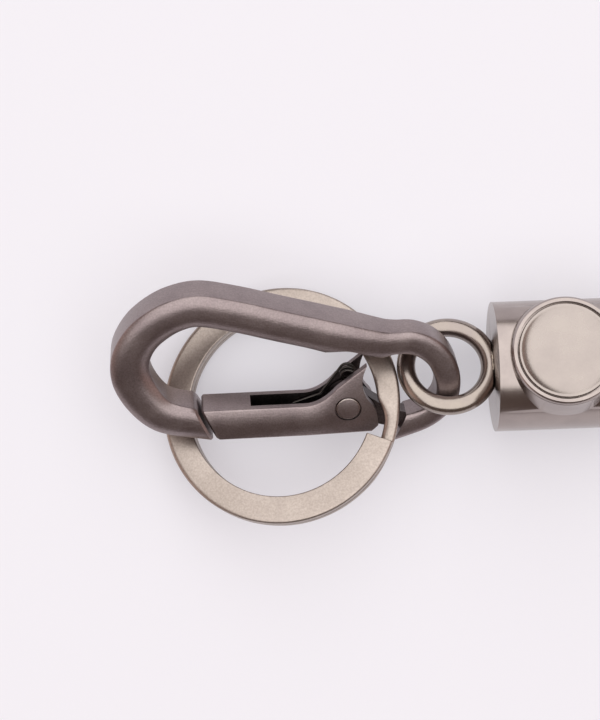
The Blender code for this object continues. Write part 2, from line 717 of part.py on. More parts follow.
def make_strap_pin():
    """Pin from under the medallion through both legs into the far wall."""
    top = medallion_floor() - FIT_GAP
    shape = rod(PIN_RADIUS, pin_bottom(), top, RIVET_STEPS)
    bmesh.ops.translate(shape, verts=shape.verts, vec=(FERRULE_LENGTH / 2, 0, 0))
    return add_object("strap_pin", mesh_from("strap_pin", shape), SPRING_STEEL, 1.0, 0.4)


def leg_spread():
    """Half the distance between the glue lines of the two legs in the ferrule."""
    return PLY_GAP / 2 + LINING_PLY + PLY_GAP


def make_strap_collar():
    """Disc that closes the bore round the two legs."""
    shape = rod(FERRULE_RADIUS - FERRULE_SIDE_WALL - FIT_GAP, FERRULE_LENGTH - COLLAR_THICKNESS,
                FERRULE_LENGTH, FERRULE_STEPS)
    bmesh.ops.rotate(shape, verts=shape.verts, matrix=Matrix.Rotation(math.pi / 2, 3, "Y"))
    collar = add_object("strap_collar", mesh_from("strap_collar", shape), GUNMETAL, 1.0, 0.3)
    half_width = STRAP_WIDTH / 2 + FIT_GAP
    half_height = leg_spread() + PLY_GAP / 2 + OUTER_PLY + FIT_GAP
    slot = block((0.0, -half_width, -half_height),
                 (FERRULE_LENGTH + CUT_OVERRUN, half_width, half_height))
    boolean(collar, cutter("cut_strap_slot", mesh_from("cut_strap_slot", slot)), "DIFFERENCE")
    return collar


def strap_glue_line():
    """Points and width directions of the strip's glue line, round the loop and back.

    They stand in the ferrule's lie: X along its axis, heights over the table.
    """
    start = FERRULE_LENGTH - STRAP_TUCK
    mouth = FERRULE_LENGTH
    rest = LOOP_RADIUS + PLY_GAP / 2 + OUTER_PLY
    end = mouth + STRAP_LENGTH - rest
    rows = []
    for k in range(STRAP_STEPS + 1):
        x = mix(start, end, k / STRAP_STEPS)
        drop = smooth((x - mouth) / STRAP_DROP_LENGTH)
        level = mix(FERRULE_RADIUS, rest, drop)
        roll = math.radians(FERRULE_ROLL_DEGREES) * (1 - smooth((x - mouth) / STRAP_UNTWIST_LENGTH))
        spread = mix(leg_spread(), LOOP_RADIUS, smooth((x - end + STRAP_SPREAD_LENGTH) / STRAP_SPREAD_LENGTH))
        rows.append((x, level, roll, spread))
    lower = []
    upper = []
    for x, level, roll, spread in rows:
        width = Vector((0, math.cos(roll), math.sin(roll)))
        apart = Vector((0, -math.sin(roll), math.cos(roll)))
        middle = Vector((x, 0, level))
        lower.append((middle - apart * spread, width))
        upper.append((middle + apart * spread, width))
    fold = []
    for k in range(1, FOLD_STEPS):
        angle = mix(-math.pi / 2, math.pi / 2, k / FOLD_STEPS)
        centre = Vector((end, 0, rest))
        fold.append((centre + Vector((math.cos(angle), 0, math.sin(angle))) * LOOP_RADIUS, Vector((0, 1, 0))))
    return lower + fold + list(reversed(upper))


def make_ply(name, offset, thickness, colour):
    """One ply of leather, offset from the glue line. A positive offset is the outer side."""
    rows = strap_glue_line()
    sections = []
    for i, (place, width) in enumerate(rows):
        before = rows[max(i - 1, 0)][0]
        after = rows[min(i + 1, len(rows) - 1)][0]
        along = (after - before).normalized()
        outward = width.cross(along).normalized()
        centre = place + outward * offset
        side = width * (STRAP_WIDTH / 2)
        deep = outward * (thickness / 2)
        top = centre + deep
        under = centre - deep
        sections.append([top + side, top - side, under - side, under + side])
    return add_object(name, mesh_from(name, loft(sections)), colour, 0.0, 0.5)


def drill_ply(ply, roll_world):
    """Hole for the pin through both legs of a ply."""
    reach = boss_height()
    hole = rod(PIN_RADIUS + RUNNING_GAP, -reach, reach, RIVET_STEPS)
    bmesh.ops.translate(hole, verts=hole.verts, vec=(FERRULE_LENGTH / 2, 0, 0))
    name = "cut_hole_" + ply.name
    tool = cutter(name, mesh_from(name, hole))
    boolean(ply, tool, "DIFFERENCE")
    bpy.context.view_layer.update()
    tool.matrix_world = roll_world


def hook_turn():
    return (turn(HOOK_YAW_DEGREES, "Z") @ turn(HOOK_ROLL_DEGREES, "X") @ turn(HOOK_TILT_DEGREES, "Y")
            @ turn(HOOK_SPIN_DEGREES, "Z"))


def split_turn():
    towards = turn(SPLIT_TILT_TOWARDS_DEGREES, "Z")
    back = turn(-SPLIT_TILT_TOWARDS_DEGREES, "Z")
    return towards @ turn(-SPLIT_TILT_DEGREES, "Y") @ back


def place_on_origin(base):
    """Moves the whole object so that its box stands on the origin by its bottom centre."""
    bpy.context.view_layer.update()
    graph = bpy.context.evaluated_depsgraph_get()
    low = Vector((math.inf,) * 3)
    high = Vector((-math.inf,) * 3)
    for thing in bpy.context.scene.objects:
        if thing.type == "EMPTY" or thing.hide_render:
            continue
        seen = thing.evaluated_get(graph)
        mesh = seen.to_mesh()
        for vertex in mesh.vertices:
            point = seen.matrix_world @ vertex.co
            low = Vector(map(min, low, point))
            high = Vector(map(max, high, point))
        seen.to_mesh_clear()
    base.location = (-(low.x + high.x) / 2, -(low.y + high.y) / 2, -low.z)
    bpy.context.view_layer.update()
    print("box in mm", [round(value / MM, 3) for value in high - low])


def build():
    clear_scene()
    base = empty("keychain", Matrix.Identity(4))
    ferrule_world = shift(0, 0, FERRULE_RADIUS) @ turn(FERRULE_ROLL_DEGREES, "X")
    ring_centre = -(WIRE_RING_RADIUS + WIRE / 2 - WIRE_RING_SINK)
    ring_world = shift(ring_centre, WIRE_RING_OFF_AXIS, FERRULE_RADIUS) @ turn(WIRE_RING_ROLL_DEGREES, "X")
    ferrule = make_ferrule(ring_world, ferrule_world)
    seat(ferrule, ferrule_world, base)
    seat(make_wire_ring(), ring_world, base)
    seat(make_braze_bead(), ring_world, base)
    for piece in (make_medallion(), make_strap_pin(), make_strap_collar()):
        seat(piece, ferrule_world, base)
    outer = make_ply("strap_outer", (PLY_GAP + OUTER_PLY) / 2, OUTER_PLY, LEATHER)
    lining = make_ply("strap_lining", -(PLY_GAP + LINING_PLY) / 2, LINING_PLY, LINING)
    for ply in (outer, lining):
        drill_ply(ply, ferrule_world)
        seat(ply, Matrix.Identity(4), base)
    wire_left = ring_world @ Vector((-WIRE_RING_RADIUS, 0, 0))
    rivet_point = wire_left - hook_turn() @ Vector(WIRE_CROSSING)
    hook_world = Matrix.Translation(rivet_point) @ hook_turn()
    swing = empty("hook_swing", Matrix.Translation(wire_left) @ ring_world.to_3x3().to_4x4(), base)
    frame = make_hook_frame()
    rivet = make_gate_rivet()
    seat(frame, hook_world, swing)
    seat(rivet, hook_world, swing)
    pivot = empty("gate_hinge", hook_world, swing)
    seat(make_gate(), hook_world, pivot)
    seat(make_gate_spring(), hook_world, pivot)
    middle = Vector((0.0, GATE_TOP - GATE_HEIGHT / 2, 0.0))
    hang = empty("split_ring_hinge", hook_world @ Matrix.Translation(middle), swing)
    crossing = hook_world @ Vector(SPLIT_CROSSING)
    angle = math.radians(SPLIT_CROSSING_DEGREES)
    reach = SPLIT_RADIUS - SPLIT_BAND / 2
    centre = crossing - split_turn() @ Vector((math.cos(angle) * reach, math.sin(angle) * reach, 0.0))
    seat(make_split_ring(), Matrix.Translation(centre) @ split_turn(), hang)
    place_on_origin(base)


build()
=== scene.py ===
# %% [markdown]
# # A leather keychain with a snap hook
# The CAD model gives every piece its place and its true size, with few faces. This script loads it as
# a fixed frame and puts a finely made piece in place of each CAD node that the eye can reach. The
# sizes repeat those of the CAD model, so the fine pieces lie where the plain ones do.

# %% Load the frame
import math
import random

import bmesh
import bpy
from mathutils import Matrix, Vector


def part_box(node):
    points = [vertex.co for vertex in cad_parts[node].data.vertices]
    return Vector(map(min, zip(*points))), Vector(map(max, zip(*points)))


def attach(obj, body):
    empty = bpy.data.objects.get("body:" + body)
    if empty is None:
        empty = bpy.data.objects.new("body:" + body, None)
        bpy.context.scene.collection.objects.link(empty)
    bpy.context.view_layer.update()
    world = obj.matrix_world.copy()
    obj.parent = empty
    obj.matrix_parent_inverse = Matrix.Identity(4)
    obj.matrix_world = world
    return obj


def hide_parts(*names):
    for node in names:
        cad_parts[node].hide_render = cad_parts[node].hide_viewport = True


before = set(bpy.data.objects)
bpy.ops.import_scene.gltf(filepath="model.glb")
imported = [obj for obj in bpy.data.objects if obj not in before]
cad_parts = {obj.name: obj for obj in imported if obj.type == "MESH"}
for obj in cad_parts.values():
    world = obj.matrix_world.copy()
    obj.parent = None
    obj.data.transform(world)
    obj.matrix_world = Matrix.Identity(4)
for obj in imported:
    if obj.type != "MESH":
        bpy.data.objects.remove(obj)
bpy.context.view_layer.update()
MM = 0.001

# %% [markdown]
# ## Where the pieces lie
# The keychain lies on a table. The ferrule's axis runs along X, a wire ring stands in its end, and the
# hook hangs in that ring, rolled on its side. Each group is modelled in a frame of its own, in which
# it is simple, and a matrix then moves it to its place. The CAD ring's box gives the one point that
# the rest is measured from.

# %% Matrices for the groups
FERRULE_RADIUS = 8.0 * MM
WIRE_RING_RADIUS = 5.2 * MM
WIRE = 2.3 * MM
WIRE_RING_SINK = 0.8 * MM
WIRE_RING_OFF_AXIS = 0.25 * MM
SPLIT_RADIUS = 15.0 * MM
SPLIT_BAND = 3.4 * MM
# Where the wire ring and the split ring pass through the hook's eye, in its plane
WIRE_CROSSING = Vector((7.537 * MM, 3.467 * MM, -0.733 * MM))
SPLIT_CROSSING = Vector((4.93 * MM, 1.53 * MM, -0.49 * MM))
SPLIT_CROSSING_DEGREES = 8.7
FERRULE_ROLL_DEGREES = -11.4
WIRE_RING_ROLL_DEGREES = -22.0
HOOK_YAW_DEGREES = -2.15
HOOK_ROLL_DEGREES = 29.5
HOOK_TILT_DEGREES = 4.0
HOOK_SPIN_DEGREES = 2.16
SPLIT_TILT_DEGREES = 16.93
SPLIT_TILT_TOWARDS_DEGREES = -51.25


def turn(degrees, axis):
    return Matrix.Rotation(math.radians(degrees), 4, axis)


ring_low, ring_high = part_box("wire_ring")
ring_middle = (ring_low + ring_high) / 2
ring_reach = WIRE_RING_RADIUS + WIRE / 2 - WIRE_RING_SINK
face_middle = ring_middle + Vector((ring_reach, -WIRE_RING_OFF_AXIS, 0.0))
ring_place = Matrix.Translation(ring_middle) @ turn(WIRE_RING_ROLL_DEGREES, "X")
ferrule_place = Matrix.Translation(face_middle) @ turn(FERRULE_ROLL_DEGREES, "X")
table_place = Matrix.Translation((face_middle.x, face_middle.y, 0.0))
hook_lean = turn(HOOK_YAW_DEGREES, "Z") @ turn(HOOK_ROLL_DEGREES, "X")
hook_turn = hook_lean @ turn(HOOK_TILT_DEGREES, "Y") @ turn(HOOK_SPIN_DEGREES, "Z")
rivet_point = ring_place @ Vector((-WIRE_RING_RADIUS, 0.0, 0.0)) - hook_turn @ WIRE_CROSSING
hook_place = Matrix.Translation(rivet_point) @ hook_turn
towards = turn(SPLIT_TILT_TOWARDS_DEGREES, "Z")
split_turn = towards @ turn(-SPLIT_TILT_DEGREES, "Y") @ turn(-SPLIT_TILT_TOWARDS_DEGREES, "Z")
crossing_angle = math.radians(SPLIT_CROSSING_DEGREES)
crossing_reach = SPLIT_RADIUS - SPLIT_BAND / 2
split_middle = hook_place @ SPLIT_CROSSING - split_turn @ Vector(
    (math.cos(crossing_angle) * crossing_reach, math.sin(crossing_angle) * crossing_reach, 0.0)
)
split_place = Matrix.Translation(split_middle) @ split_turn
print("rivet at", [round(value / MM, 2) for value in rivet_point], "mm")

# %% [markdown]
# ## Colours and nodes
# Colours are picked on a screen, so they are written as sRGB hex values. The shader works with
# linear light, so one function turns them over. Another adds a node with its settings and links,
# which keeps each material short enough to read as a recipe.

# %% Three small helpers for materials
def srgb(code):
    """A hex colour as linear red, green, blue and alpha."""
    channels = [int(code[i:i + 2], 16) / 255 for i in (1, 3, 5)]
    linear = [c / 12.92 if c <= 0.04045 else ((c + 0.055) / 1.055) ** 2.4 for c in channels]
    return (*linear, 1.0)


def add_node(material, kind, settings=None, links=None):
    """Adds a node, sets its properties or sockets by name, and links sockets to it."""
    tree = material.node_tree
    node = tree.nodes.new(kind)
    for name, value in (settings or {}).items():
        if hasattr(node, name):
            setattr(node, name, value)
        else:
            node.inputs[name].default_value = value
    for name, source in (links or {}).items():
        tree.links.new(source, node.inputs[name])
    return node


def new_material(name, colour, metallic, roughness):
    material = bpy.data.materials.new(name)
    material.use_nodes = True
    shader = material.node_tree.nodes["Principled BSDF"]
    shader.inputs["Base Color"].default_value = srgb(colour)
    shader.inputs["Metallic"].default_value = metallic
    shader.inputs["Roughness"].default_value = roughness
    return material, shader


CLOUD_SIZE = 3.0 * MM


def metal(name, dark, light, rough_low, rough_high, grit, grit_depth, dimple_shade):
    """A plated metal: cloudy colour and gloss from one slow noise, dimples and their painted light and
    shade from a fast one.
    """
    material, shader = new_material(name, light, 1.0, rough_low)
    place = add_node(material, "ShaderNodeTexCoord").outputs["Object"]
    clouds = add_node(
        material, "ShaderNodeTexNoise", {"Scale": 1 / CLOUD_SIZE, "Detail": 4.0}, {"Vector": place}
    )
    tint = add_node(material, "ShaderNodeValToRGB", None, {"Fac": clouds.outputs["Fac"]})
    tint.color_ramp.elements[0].position = 0.3
    tint.color_ramp.elements[0].color = srgb(dark)
    tint.color_ramp.elements[1].position = 0.7
    tint.color_ramp.elements[1].color = srgb(light)
    gloss = add_node(
        material, "ShaderNodeMapRange", {"To Min": rough_low, "To Max": rough_high},
        {"Value": clouds.outputs["Fac"]},
    )
    dimples = add_node(
        material, "ShaderNodeTexNoise", {"Scale": 1 / grit, "Detail": 2.0}, {"Vector": place}
    )
    bump = add_node(
        material, "ShaderNodeBump", {"Strength": 1.0, "Distance": grit_depth},
        {"Height": dimples.outputs["Fac"]},
    )
    # Painted light and shade of the dimples: the colour is lighter or darker with the dimple noise
    shade = add_node(
        material, "ShaderNodeMapRange",
        {"From Min": 0.3, "From Max": 0.7, "To Min": 1 - dimple_shade, "To Max": 1 + dimple_shade},
        {"Value": dimples.outputs["Fac"]},
    )
    dimple_shaded = add_node(
        material, "ShaderNodeHueSaturation", None,
        {"Color": tint.outputs["Color"], "Value": shade.outputs["Result"]},
    )
    links = material.node_tree.links
    links.new(dimple_shaded.outputs["Color"], shader.inputs["Base Color"])
    links.new(gloss.outputs["Result"], shader.inputs["Roughness"])
    links.new(bump.outputs["Normal"], shader.inputs["Normal"])
    return material


# %% [markdown]
# ## The metals
# Every metal piece is zinc or steel under the same gunmetal plating, a thin dark nickel that keeps
# the brown of its tin. What differs is the surface below it. The hook was blasted with fine beads,
# whose dimples of about 0.2 mm turn a reflection into a glow. The ferrule was buffed, the wire ring
# polished, and the split ring rolled flat and tumbled. One recipe serves all of them with its own
# grit and gloss. Its fast noise also paints lighter and darker flecks, as strong as the last number
# says: painted light and shade of single dimples, which are too small for the bump alone to show.
# The faces inside the hinge get a darker metal, which is painted shade for the dark gap there.

# %% Make the metals
# Blasted casting: a soft glow without a sharp reflection, and a fine pepper of painted dimple light and
# shade
cast = metal(
    "bead_blasted_gunmetal_plate", "#8a7e7e", "#988c8b", 0.31, 0.40, 0.22 * MM, 0.022 * MM, 0.12
)
# Buffed casting: long clean reflections with a slightly soft border
buffed = metal(
    "buffed_gunmetal_plate", "#9e9490", "#aaa09b", 0.19, 0.26, 0.35 * MM, 0.0012 * MM, 0.02
)
# Polished wire: one bright streak along the ring
polished = metal(
    "polished_gunmetal_plate", "#988e89", "#a2988f", 0.20, 0.26, 0.40 * MM, 0.0008 * MM, 0.02
)
# Tumbled flat wire: paler and warmer, evenly dull, with a grain like fine sand
tumbled = metal(
    "tumbled_flat_wire_plate", "#a0958d", "#aca199", 0.27, 0.35, 0.24 * MM, 0.008 * MM, 0.12
)
# Satin disc: smooth and calm, so that the medallion's shape alone draws the light
disc_plate = metal(
    "satin_disc_plate", "#9e9590", "#a69d97", 0.25, 0.29, 0.22 * MM, 0.0003 * MM, 0.012
)
# Oil-darkened spring wire: almost black with a thin glint
spring_metal = metal(
    "drawn_spring_steel", "#3d3a38", "#54504d", 0.30, 0.38, 0.30 * MM, 0.002 * MM, 0.06
)
# Filler metal: small drops, a little lighter than the ring
filler = metal("brass_filler_metal", "#a1958a", "#b9ad9e", 0.18, 0.35, 0.30 * MM, 0.02 * MM, 0.10)
# Painted shade on the faces in the hinge: a dark gap between the cheeks
hinge_painted_shade = metal("hinge_painted_shade_casting", "#4e4848", "#686060", 0.26, 0.42, 0.30 * MM, 0.02 * MM, 0.20)
print("eight metals")

# %% [markdown]
# ## The leather
# The strap is full-grain cowhide on the outside and a smoother lining on the inside. Grain is a net
# of fine creases about 0.8 mm apart round flat islands, which a Voronoi texture draws well: the
# distance to a cell's edge is the crease. Handling polishes the islands and leaves the creases dull,
# so one net drives colour, gloss and bump together.

# %% Make the leathers
CREASE_WIDTH = 0.17
FOLD_SIZE = 6.0 * MM
FOLD_DEPTH = 0.25 * MM


def leather(name, crease, island, rough_low, rough_high, grain, depth):
    material, shader = new_material(name, island, 0.0, rough_high)
    place = add_node(material, "ShaderNodeTexCoord").outputs["Object"]
    wander = add_node(
        material, "ShaderNodeTexNoise", {"Scale": 1 / (2.2 * grain), "Detail": 3.0}, {"Vector": place}
    )
    bent = add_node(
        material, "ShaderNodeVectorMath", {"operation": "SCALE", "Scale": 0.9 * grain},
        {"Vector": wander.outputs["Color"]},
    )
    warped = add_node(material, "ShaderNodeVectorMath", {"operation": "ADD"})
    net = add_node(
        material, "ShaderNodeTexVoronoi", {"feature": "DISTANCE_TO_EDGE", "Scale": 1 / grain},
        {"Vector": warped.outputs["Vector"]},
    )
    links = material.node_tree.links
    links.new(place, warped.inputs[0])
    links.new(bent.outputs["Vector"], warped.inputs[1])
    islands = add_node(
        material, "ShaderNodeMapRange", {"From Max": CREASE_WIDTH, "interpolation_type": "SMOOTHSTEP"},
        {"Value": net.outputs["Distance"]},
    )
    tint = add_node(material, "ShaderNodeValToRGB", None, {"Fac": islands.outputs["Result"]})
    tint.color_ramp.elements[0].color = srgb(crease)
    tint.color_ramp.elements[1].color = srgb(island)
    gloss = add_node(
        material, "ShaderNodeMapRange", {"To Min": rough_high, "To Max": rough_low},
        {"Value": islands.outputs["Result"]},
    )
    folds = add_node(
        material, "ShaderNodeTexNoise", {"Scale": 1 / FOLD_SIZE, "Detail": 2.0}, {"Vector": place}
    )
    soft = add_node(
        material, "ShaderNodeBump", {"Strength": 1.0, "Distance": FOLD_DEPTH},
        {"Height": folds.outputs["Fac"]},
    )
    bump = add_node(
        material, "ShaderNodeBump", {"Strength": 1.0, "Distance": depth},
        {"Height": islands.outputs["Result"], "Normal": soft.outputs["Normal"]},
    )
    links.new(tint.outputs["Color"], shader.inputs["Base Color"])
    links.new(gloss.outputs["Result"], shader.inputs["Roughness"])
    links.new(bump.outputs["Normal"], shader.inputs["Normal"])
    return material


# Outer hide: dark brown islands with a soft sheen between dull, nearly black creases
hide = leather("full_grain_cowhide", "#1d1512", "#3d2f28", 0.38, 0.62, 0.8 * MM, 0.038 * MM)
# Lining: lighter, duller, with a finer net
lining = leather("smooth_lining_leather", "#33261e", "#54412f", 0.50, 0.68, 0.45 * MM, 0.02 * MM)
# Painted edge: almost black and the glossiest of the leathers
edge_paint = leather("burnished_leather_edge", "#140f0d", "#221915", 0.30, 0.45, 0.6 * MM, 0.03 * MM)
# Thread: the same net at the size of a yarn's strands, in waxed linen's colour
thread = leather("waxed_linen_thread", "#6e5a45", "#a38b6b", 0.45, 0.60, 0.25 * MM, 0.03 * MM)
print("four leather and thread finishes")

# %% [markdown]
# ## Tools for shaping
# A cast bar, a flat wire and a strip of leather are all one outline pulled along a path. The extrude
# tool does that: it pulls the end face on, and the new end is laid on the next outline. Turned pieces
# come from the spin tool. Where pieces are joined or cut, Boolean modifiers do it on helper objects,
# and the result is read back, so that the finished piece keeps no helper.

# %% Outlines, pulls and spins
def mix(start, end, share):
    return start + (end - start) * share


def smooth(share):
    """Eases a share from 0 to 1 with level ends."""
    share = min(max(share, 0.0), 1.0)
    return share * share * (3.0 - 2.0 * share)


def arc(radius, start_degrees, end_degrees, steps):
    points = []
    for k in range(steps + 1):
        angle = math.radians(mix(start_degrees, end_degrees, k / steps))
        points.append((radius * math.cos(angle), radius * math.sin(angle)))
    return points


def bezier(start, pull, end, steps):
    points = []
    for k in range(steps + 1):
        t = k / steps
        points.append(tuple(
            (1 - t) ** 2 * a + 2 * t * (1 - t) * b + t * t * c for a, b, c in zip(start, pull, end)
        ))
    return points


def rounded(points, radii, steps=4):
    """An outline whose corners with a radius become short curves."""
    outline = []
    for i, (point, radius) in enumerate(zip(points, radii)):
        if not radius:
            outline.append(tuple(point))
            continue
        corner = Vector(point)
        before = (Vector(points[i - 1]) - corner).normalized() * radius
        after = (Vector(points[(i + 1) % len(points)]) - corner).normalized() * radius
        outline += bezier(corner + before, corner, corner + after, steps)
    return outline


def loft(sections):
    """Pulls one end face through a row of sections with as many points each."""
    shape = bmesh.new()
    number = shape.verts.layers.int.new("number")
    cap = shape.faces.new([shape.verts.new(point) for point in sections[0]])
    for k, vertex in enumerate(cap.verts):
        vertex[number] = k
    for section in sections[1:]:
        pulled = bmesh.ops.extrude_face_region(shape, geom=[cap, *cap.edges])["geom"]
        cap = next(part for part in pulled if isinstance(part, bmesh.types.BMFace))
        for k, (vertex, point) in enumerate(zip(cap.verts, section)):
            vertex.co = point
            vertex[number] = k
    bmesh.ops.recalc_face_normals(shape, faces=shape.faces)
    return shape


def plate(outline, bottom, top):
    """A straight prism over an outline in the XY plane."""
    return loft([[(x, y, bottom) for x, y in outline], [(x, y, top) for x, y in outline]])


def block(low, high):
    outline = [(low[0], low[1]), (high[0], low[1]), (high[0], high[1]), (low[0], high[1])]
    return plate(outline, low[2], high[2])


def spun(shape, steps):
    """Spins the edges of a shape once round Z."""
    bmesh.ops.spin(
        shape, geom=shape.verts[:] + shape.edges[:], axis=(0, 0, 1), cent=(0, 0, 0),
        dvec=(0, 0, 0), angle=math.tau, steps=steps, use_merge=True,
    )
    bmesh.ops.remove_doubles(shape, verts=shape.verts, dist=0.0001 * MM)
    bmesh.ops.recalc_face_normals(shape, faces=shape.faces)
    return shape


def turned(profile, steps):
    """Spins a profile of radius and height, from the axis out and back."""
    shape = bmesh.new()
    row = [shape.verts.new((radius, 0.0, height)) for radius, height in profile]
    for a, b in zip(row, row[1:]):
        shape.edges.new((a, b))
    return spun(shape, steps)


def rod(radius, bottom, top, steps=128):
    """A cylinder about Z."""
    return turned([(0.0, bottom), (radius, bottom), (radius, top), (0.0, top)], steps)


def moved(shape, matrix):
    bmesh.ops.transform(shape, matrix=matrix, verts=shape.verts)
    return shape


def torus(radius, wire_radius, steps, wire_steps):
    shape = bmesh.new()
    bmesh.ops.create_circle(shape, cap_ends=False, segments=wire_steps, radius=wire_radius)
    bmesh.ops.rotate(shape, verts=shape.verts, matrix=Matrix.Rotation(math.pi / 2, 3, "X"))
    bmesh.ops.translate(shape, verts=shape.verts, vec=(radius, 0, 0))
    return spun(shape, steps)


# %% Joining, cutting and finishing
def new_object(name, data):
    thing = bpy.data.objects.new(name, data)
    bpy.context.scene.collection.objects.link(thing)
    return thing


def mesh_object(name, shape):
    """Makes an object of a shape and frees the shape."""
    mesh = bpy.data.meshes.new(name)
    shape.to_mesh(mesh)
    shape.free()
    return new_object(name, mesh)


def combine(shape, *steps):
    """Joins tools to a shape or cuts them out of it, in order. A step is a word and a shape."""
    target = mesh_object("target", shape)
    tools = []
    for word, tool in steps:
        tools.append(mesh_object("tool", tool))
        modifier = target.modifiers.new(word, "BOOLEAN")
        modifier.object = tools[-1]
        modifier.operation = word
        modifier.solver = "EXACT"
    graph = bpy.context.evaluated_depsgraph_get()
    seen = target.evaluated_get(graph)
    result = bmesh.new()
    result.from_mesh(seen.to_mesh())
    seen.to_mesh_clear()
    for thing in [target, *tools]:
        mesh = thing.data
        bpy.data.objects.remove(thing, do_unlink=True)
        bpy.data.meshes.remove(mesh)
    bmesh.ops.remove_doubles(result, verts=result.verts, dist=0.002 * MM)
    return result


def finish(name, shape, place, body, materials, replaced=(), edge=0.0, crease=35.0):
    """Lays a shape in its place and makes it a piece, with an optional bevel on crisp edges."""
    piece = mesh_object(name, moved(shape, place))
    mesh = piece.data
    for material in materials:
        mesh.materials.append(material)
    mesh.shade_smooth()
    mesh.set_sharp_from_angle(angle=math.radians(crease))
    if edge:
        bevel = piece.modifiers.new("edge", "BEVEL")
        bevel.width = edge
        bevel.segments = 3
        bevel.limit_method = "ANGLE"
        bevel.angle_limit = math.radians(crease)
        bevel.harden_normals = True
    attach(piece, body)
    if replaced:
        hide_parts(*replaced)
    print(name, len(mesh.polygons), "faces")


# %% [markdown]
# ## The hook's casting
# The hook is one zinc casting. Its bar keeps the same section from the nose to the eye: flat sides
# from the parting of the mould and two crowned faces that were polished round before blasting. It
# could be a curve with a bevel, but the eye is slimmer than the basket and its bar swells at the
# corners of the arm, so the section is laid anew at each station between two drawn edges.

# %% Edges of the bar
BASKET_LENGTH = 28.7 * MM
BAR_WIDTH = 4.2 * MM
WALL_HEIGHT = 4.3 * MM
CROWN = 0.6 * MM
EYE_LENGTH = 14.0 * MM
EYE_HEIGHT = 14.7 * MM
EYE_BAR_WIDTH = 3.1 * MM
EYE_CROWN = 0.30 * MM
EYE_WALL_HEIGHT = 3.6 * MM
# Outer and inner edge of the bar in mm, from the nose round to the shoulder of the tongue
BAR_EDGES = (
    (-16.18, -2.88, -15.97, 1.32), (-19.60, -2.69, -18.80, 1.44), (-23.81, -1.40, -21.53, 2.38),
    (-26.72, 1.51, -22.87, 3.99), (-28.44, 5.35, -23.80, 6.35), (-28.34, 9.15, -23.78, 8.01),
    (-26.61, 12.45, -22.98, 9.74), (-24.06, 14.77, -21.51, 11.17), (-20.95, 16.29, -19.63, 12.30),
    (-17.23, 16.79, -17.56, 12.69), (-12.52, 15.69, -13.66, 11.73), (-7.59, 14.09, -8.83, 10.13),
    (-3.75, 12.87, -4.92, 8.88), (-1.75, 12.22, -2.76, 8.03), (-1.50, 12.14, -2.48, 7.94),
    (-1.22, 12.05, -2.20, 8.02), (0.90, 11.37, 0.10, 8.16), (3.10, 10.62, 2.15, 7.42),
    (4.85, 10.08, 4.05, 6.66), (5.10, 10.02, 4.36, 6.55), (5.35, 9.97, 4.68, 6.64),
    (6.40, 9.86, 6.05, 6.93), (8.64, 9.70, 7.79, 6.65), (10.94, 8.62, 9.01, 6.04),
    (12.76, 6.63, 10.09, 4.93), (13.81, 4.13, 10.75, 3.30), (13.99, 1.65, 11.02, 1.76),
    (13.41, -0.83, 10.78, 0.41), (11.80, -2.72, 10.01, -0.66), (9.77, -4.04, 8.62, -1.43),
    (7.38, -4.85, 6.62, -1.97), (5.32, -5.30, 4.68, -2.40),
)
# Stretch in mm along the gate's direction in which the bar slims down to the eye's thickness, and the
# row after which the bar turns back and keeps it
SLIM_START = 0.0
SLIM_END = 8.2
LAST_SLIMMING_ROW = 26
CROWN_POINTS = 16
CROWN_POWER = 2.8
CORNER = 0.16 * MM
EYE_CORNER = 0.34 * MM
CROWN_SPREAD = 1.1
STATIONS = 9
SHORTEST_STEP = 0.02 * MM


def catmull_rom(points, steps):
    """Rows of numbers read from a smooth curve through the given rows."""
    rows = []
    for i in range(len(points) - 1):
        around = points[max(i - 1, 0)], points[i], points[i + 1], points[min(i + 2, len(points) - 1)]
        for k in range(steps):
            t = k / steps
            rows.append(tuple(
                0.5 * (2 * b + (c - a) * t + (2 * a - 5 * b + 4 * c - d) * t * t
                       + (3 * b - a - 3 * c + d) * t * t * t)
                for a, b, c, d in zip(*around)
            ))
    rows.append(tuple(points[-1]))
    return rows


def bar_stations():
    """Outer and inner edge, wall, crown, even half width and corner at each station."""
    rows = []
    for i, edges in enumerate(BAR_EDGES):
        middle = (edges[0] + edges[2]) / 2
        turned_back = i > LAST_SLIMMING_ROW
        slim = 1.0 if turned_back else smooth((middle - SLIM_START) / (SLIM_END - SLIM_START))
        rows.append((
            *(value * MM for value in edges), mix(WALL_HEIGHT, EYE_WALL_HEIGHT, slim),
            mix(CROWN, EYE_CROWN, slim), mix(BAR_WIDTH, EYE_BAR_WIDTH, slim) / 2,
            mix(CORNER, EYE_CORNER, slim),
        ))
    return catmull_rom(rows, STATIONS)


def moving_on(rows, step):
    """Drops the stations where an edge hardly moves on or turns back, which would fold the bar."""
    kept = rows[:1]
    for row in rows[1:]:
        last = kept[-1]
        forward = Vector((last[1] - last[3], last[2] - last[0])).normalized()
        outer_step = Vector((row[0] - last[0], row[1] - last[1])).dot(forward)
        inner_step = Vector((row[2] - last[2], row[3] - last[3])).dot(forward)
        if min(outer_step, inner_step) > step:
            kept.append(row)
    return kept


stations = moving_on(bar_stations(), SHORTEST_STEP)
print(len(stations), "stations on the bar")


# %% The bar's section and its slanted ends
END_CLEAR = 0.1 * MM


def crowned_outline(outer, inner, wall, crown, corner, even=None, power=CROWN_POWER):
    """Flat sides and two crowned faces, with small round corners between them.

    The crown follows an even half width, so that a swelling of one side doesn't bend it. Its inner
    points end just short of the round corners, however wide those are.
    """
    middle = (outer - inner) / 2
    half = (outer + inner) / 2
    points = []
    radii = []
    for side in (1, -1):
        for k in range(CROWN_POINTS + 1):
            at_edge = k in (0, CROWN_POINTS)
            reach = half if at_edge else CROWN_SPREAD * (half - corner)
            across = middle + side * (1 - 2 * k / CROWN_POINTS) * reach
            fall = abs(across / (even or half)) ** power
            points.append((across, side * (wall / 2 + crown * (1 - fall))))
            radii.append(corner if at_edge else 0.0)
    return rounded(points, radii)


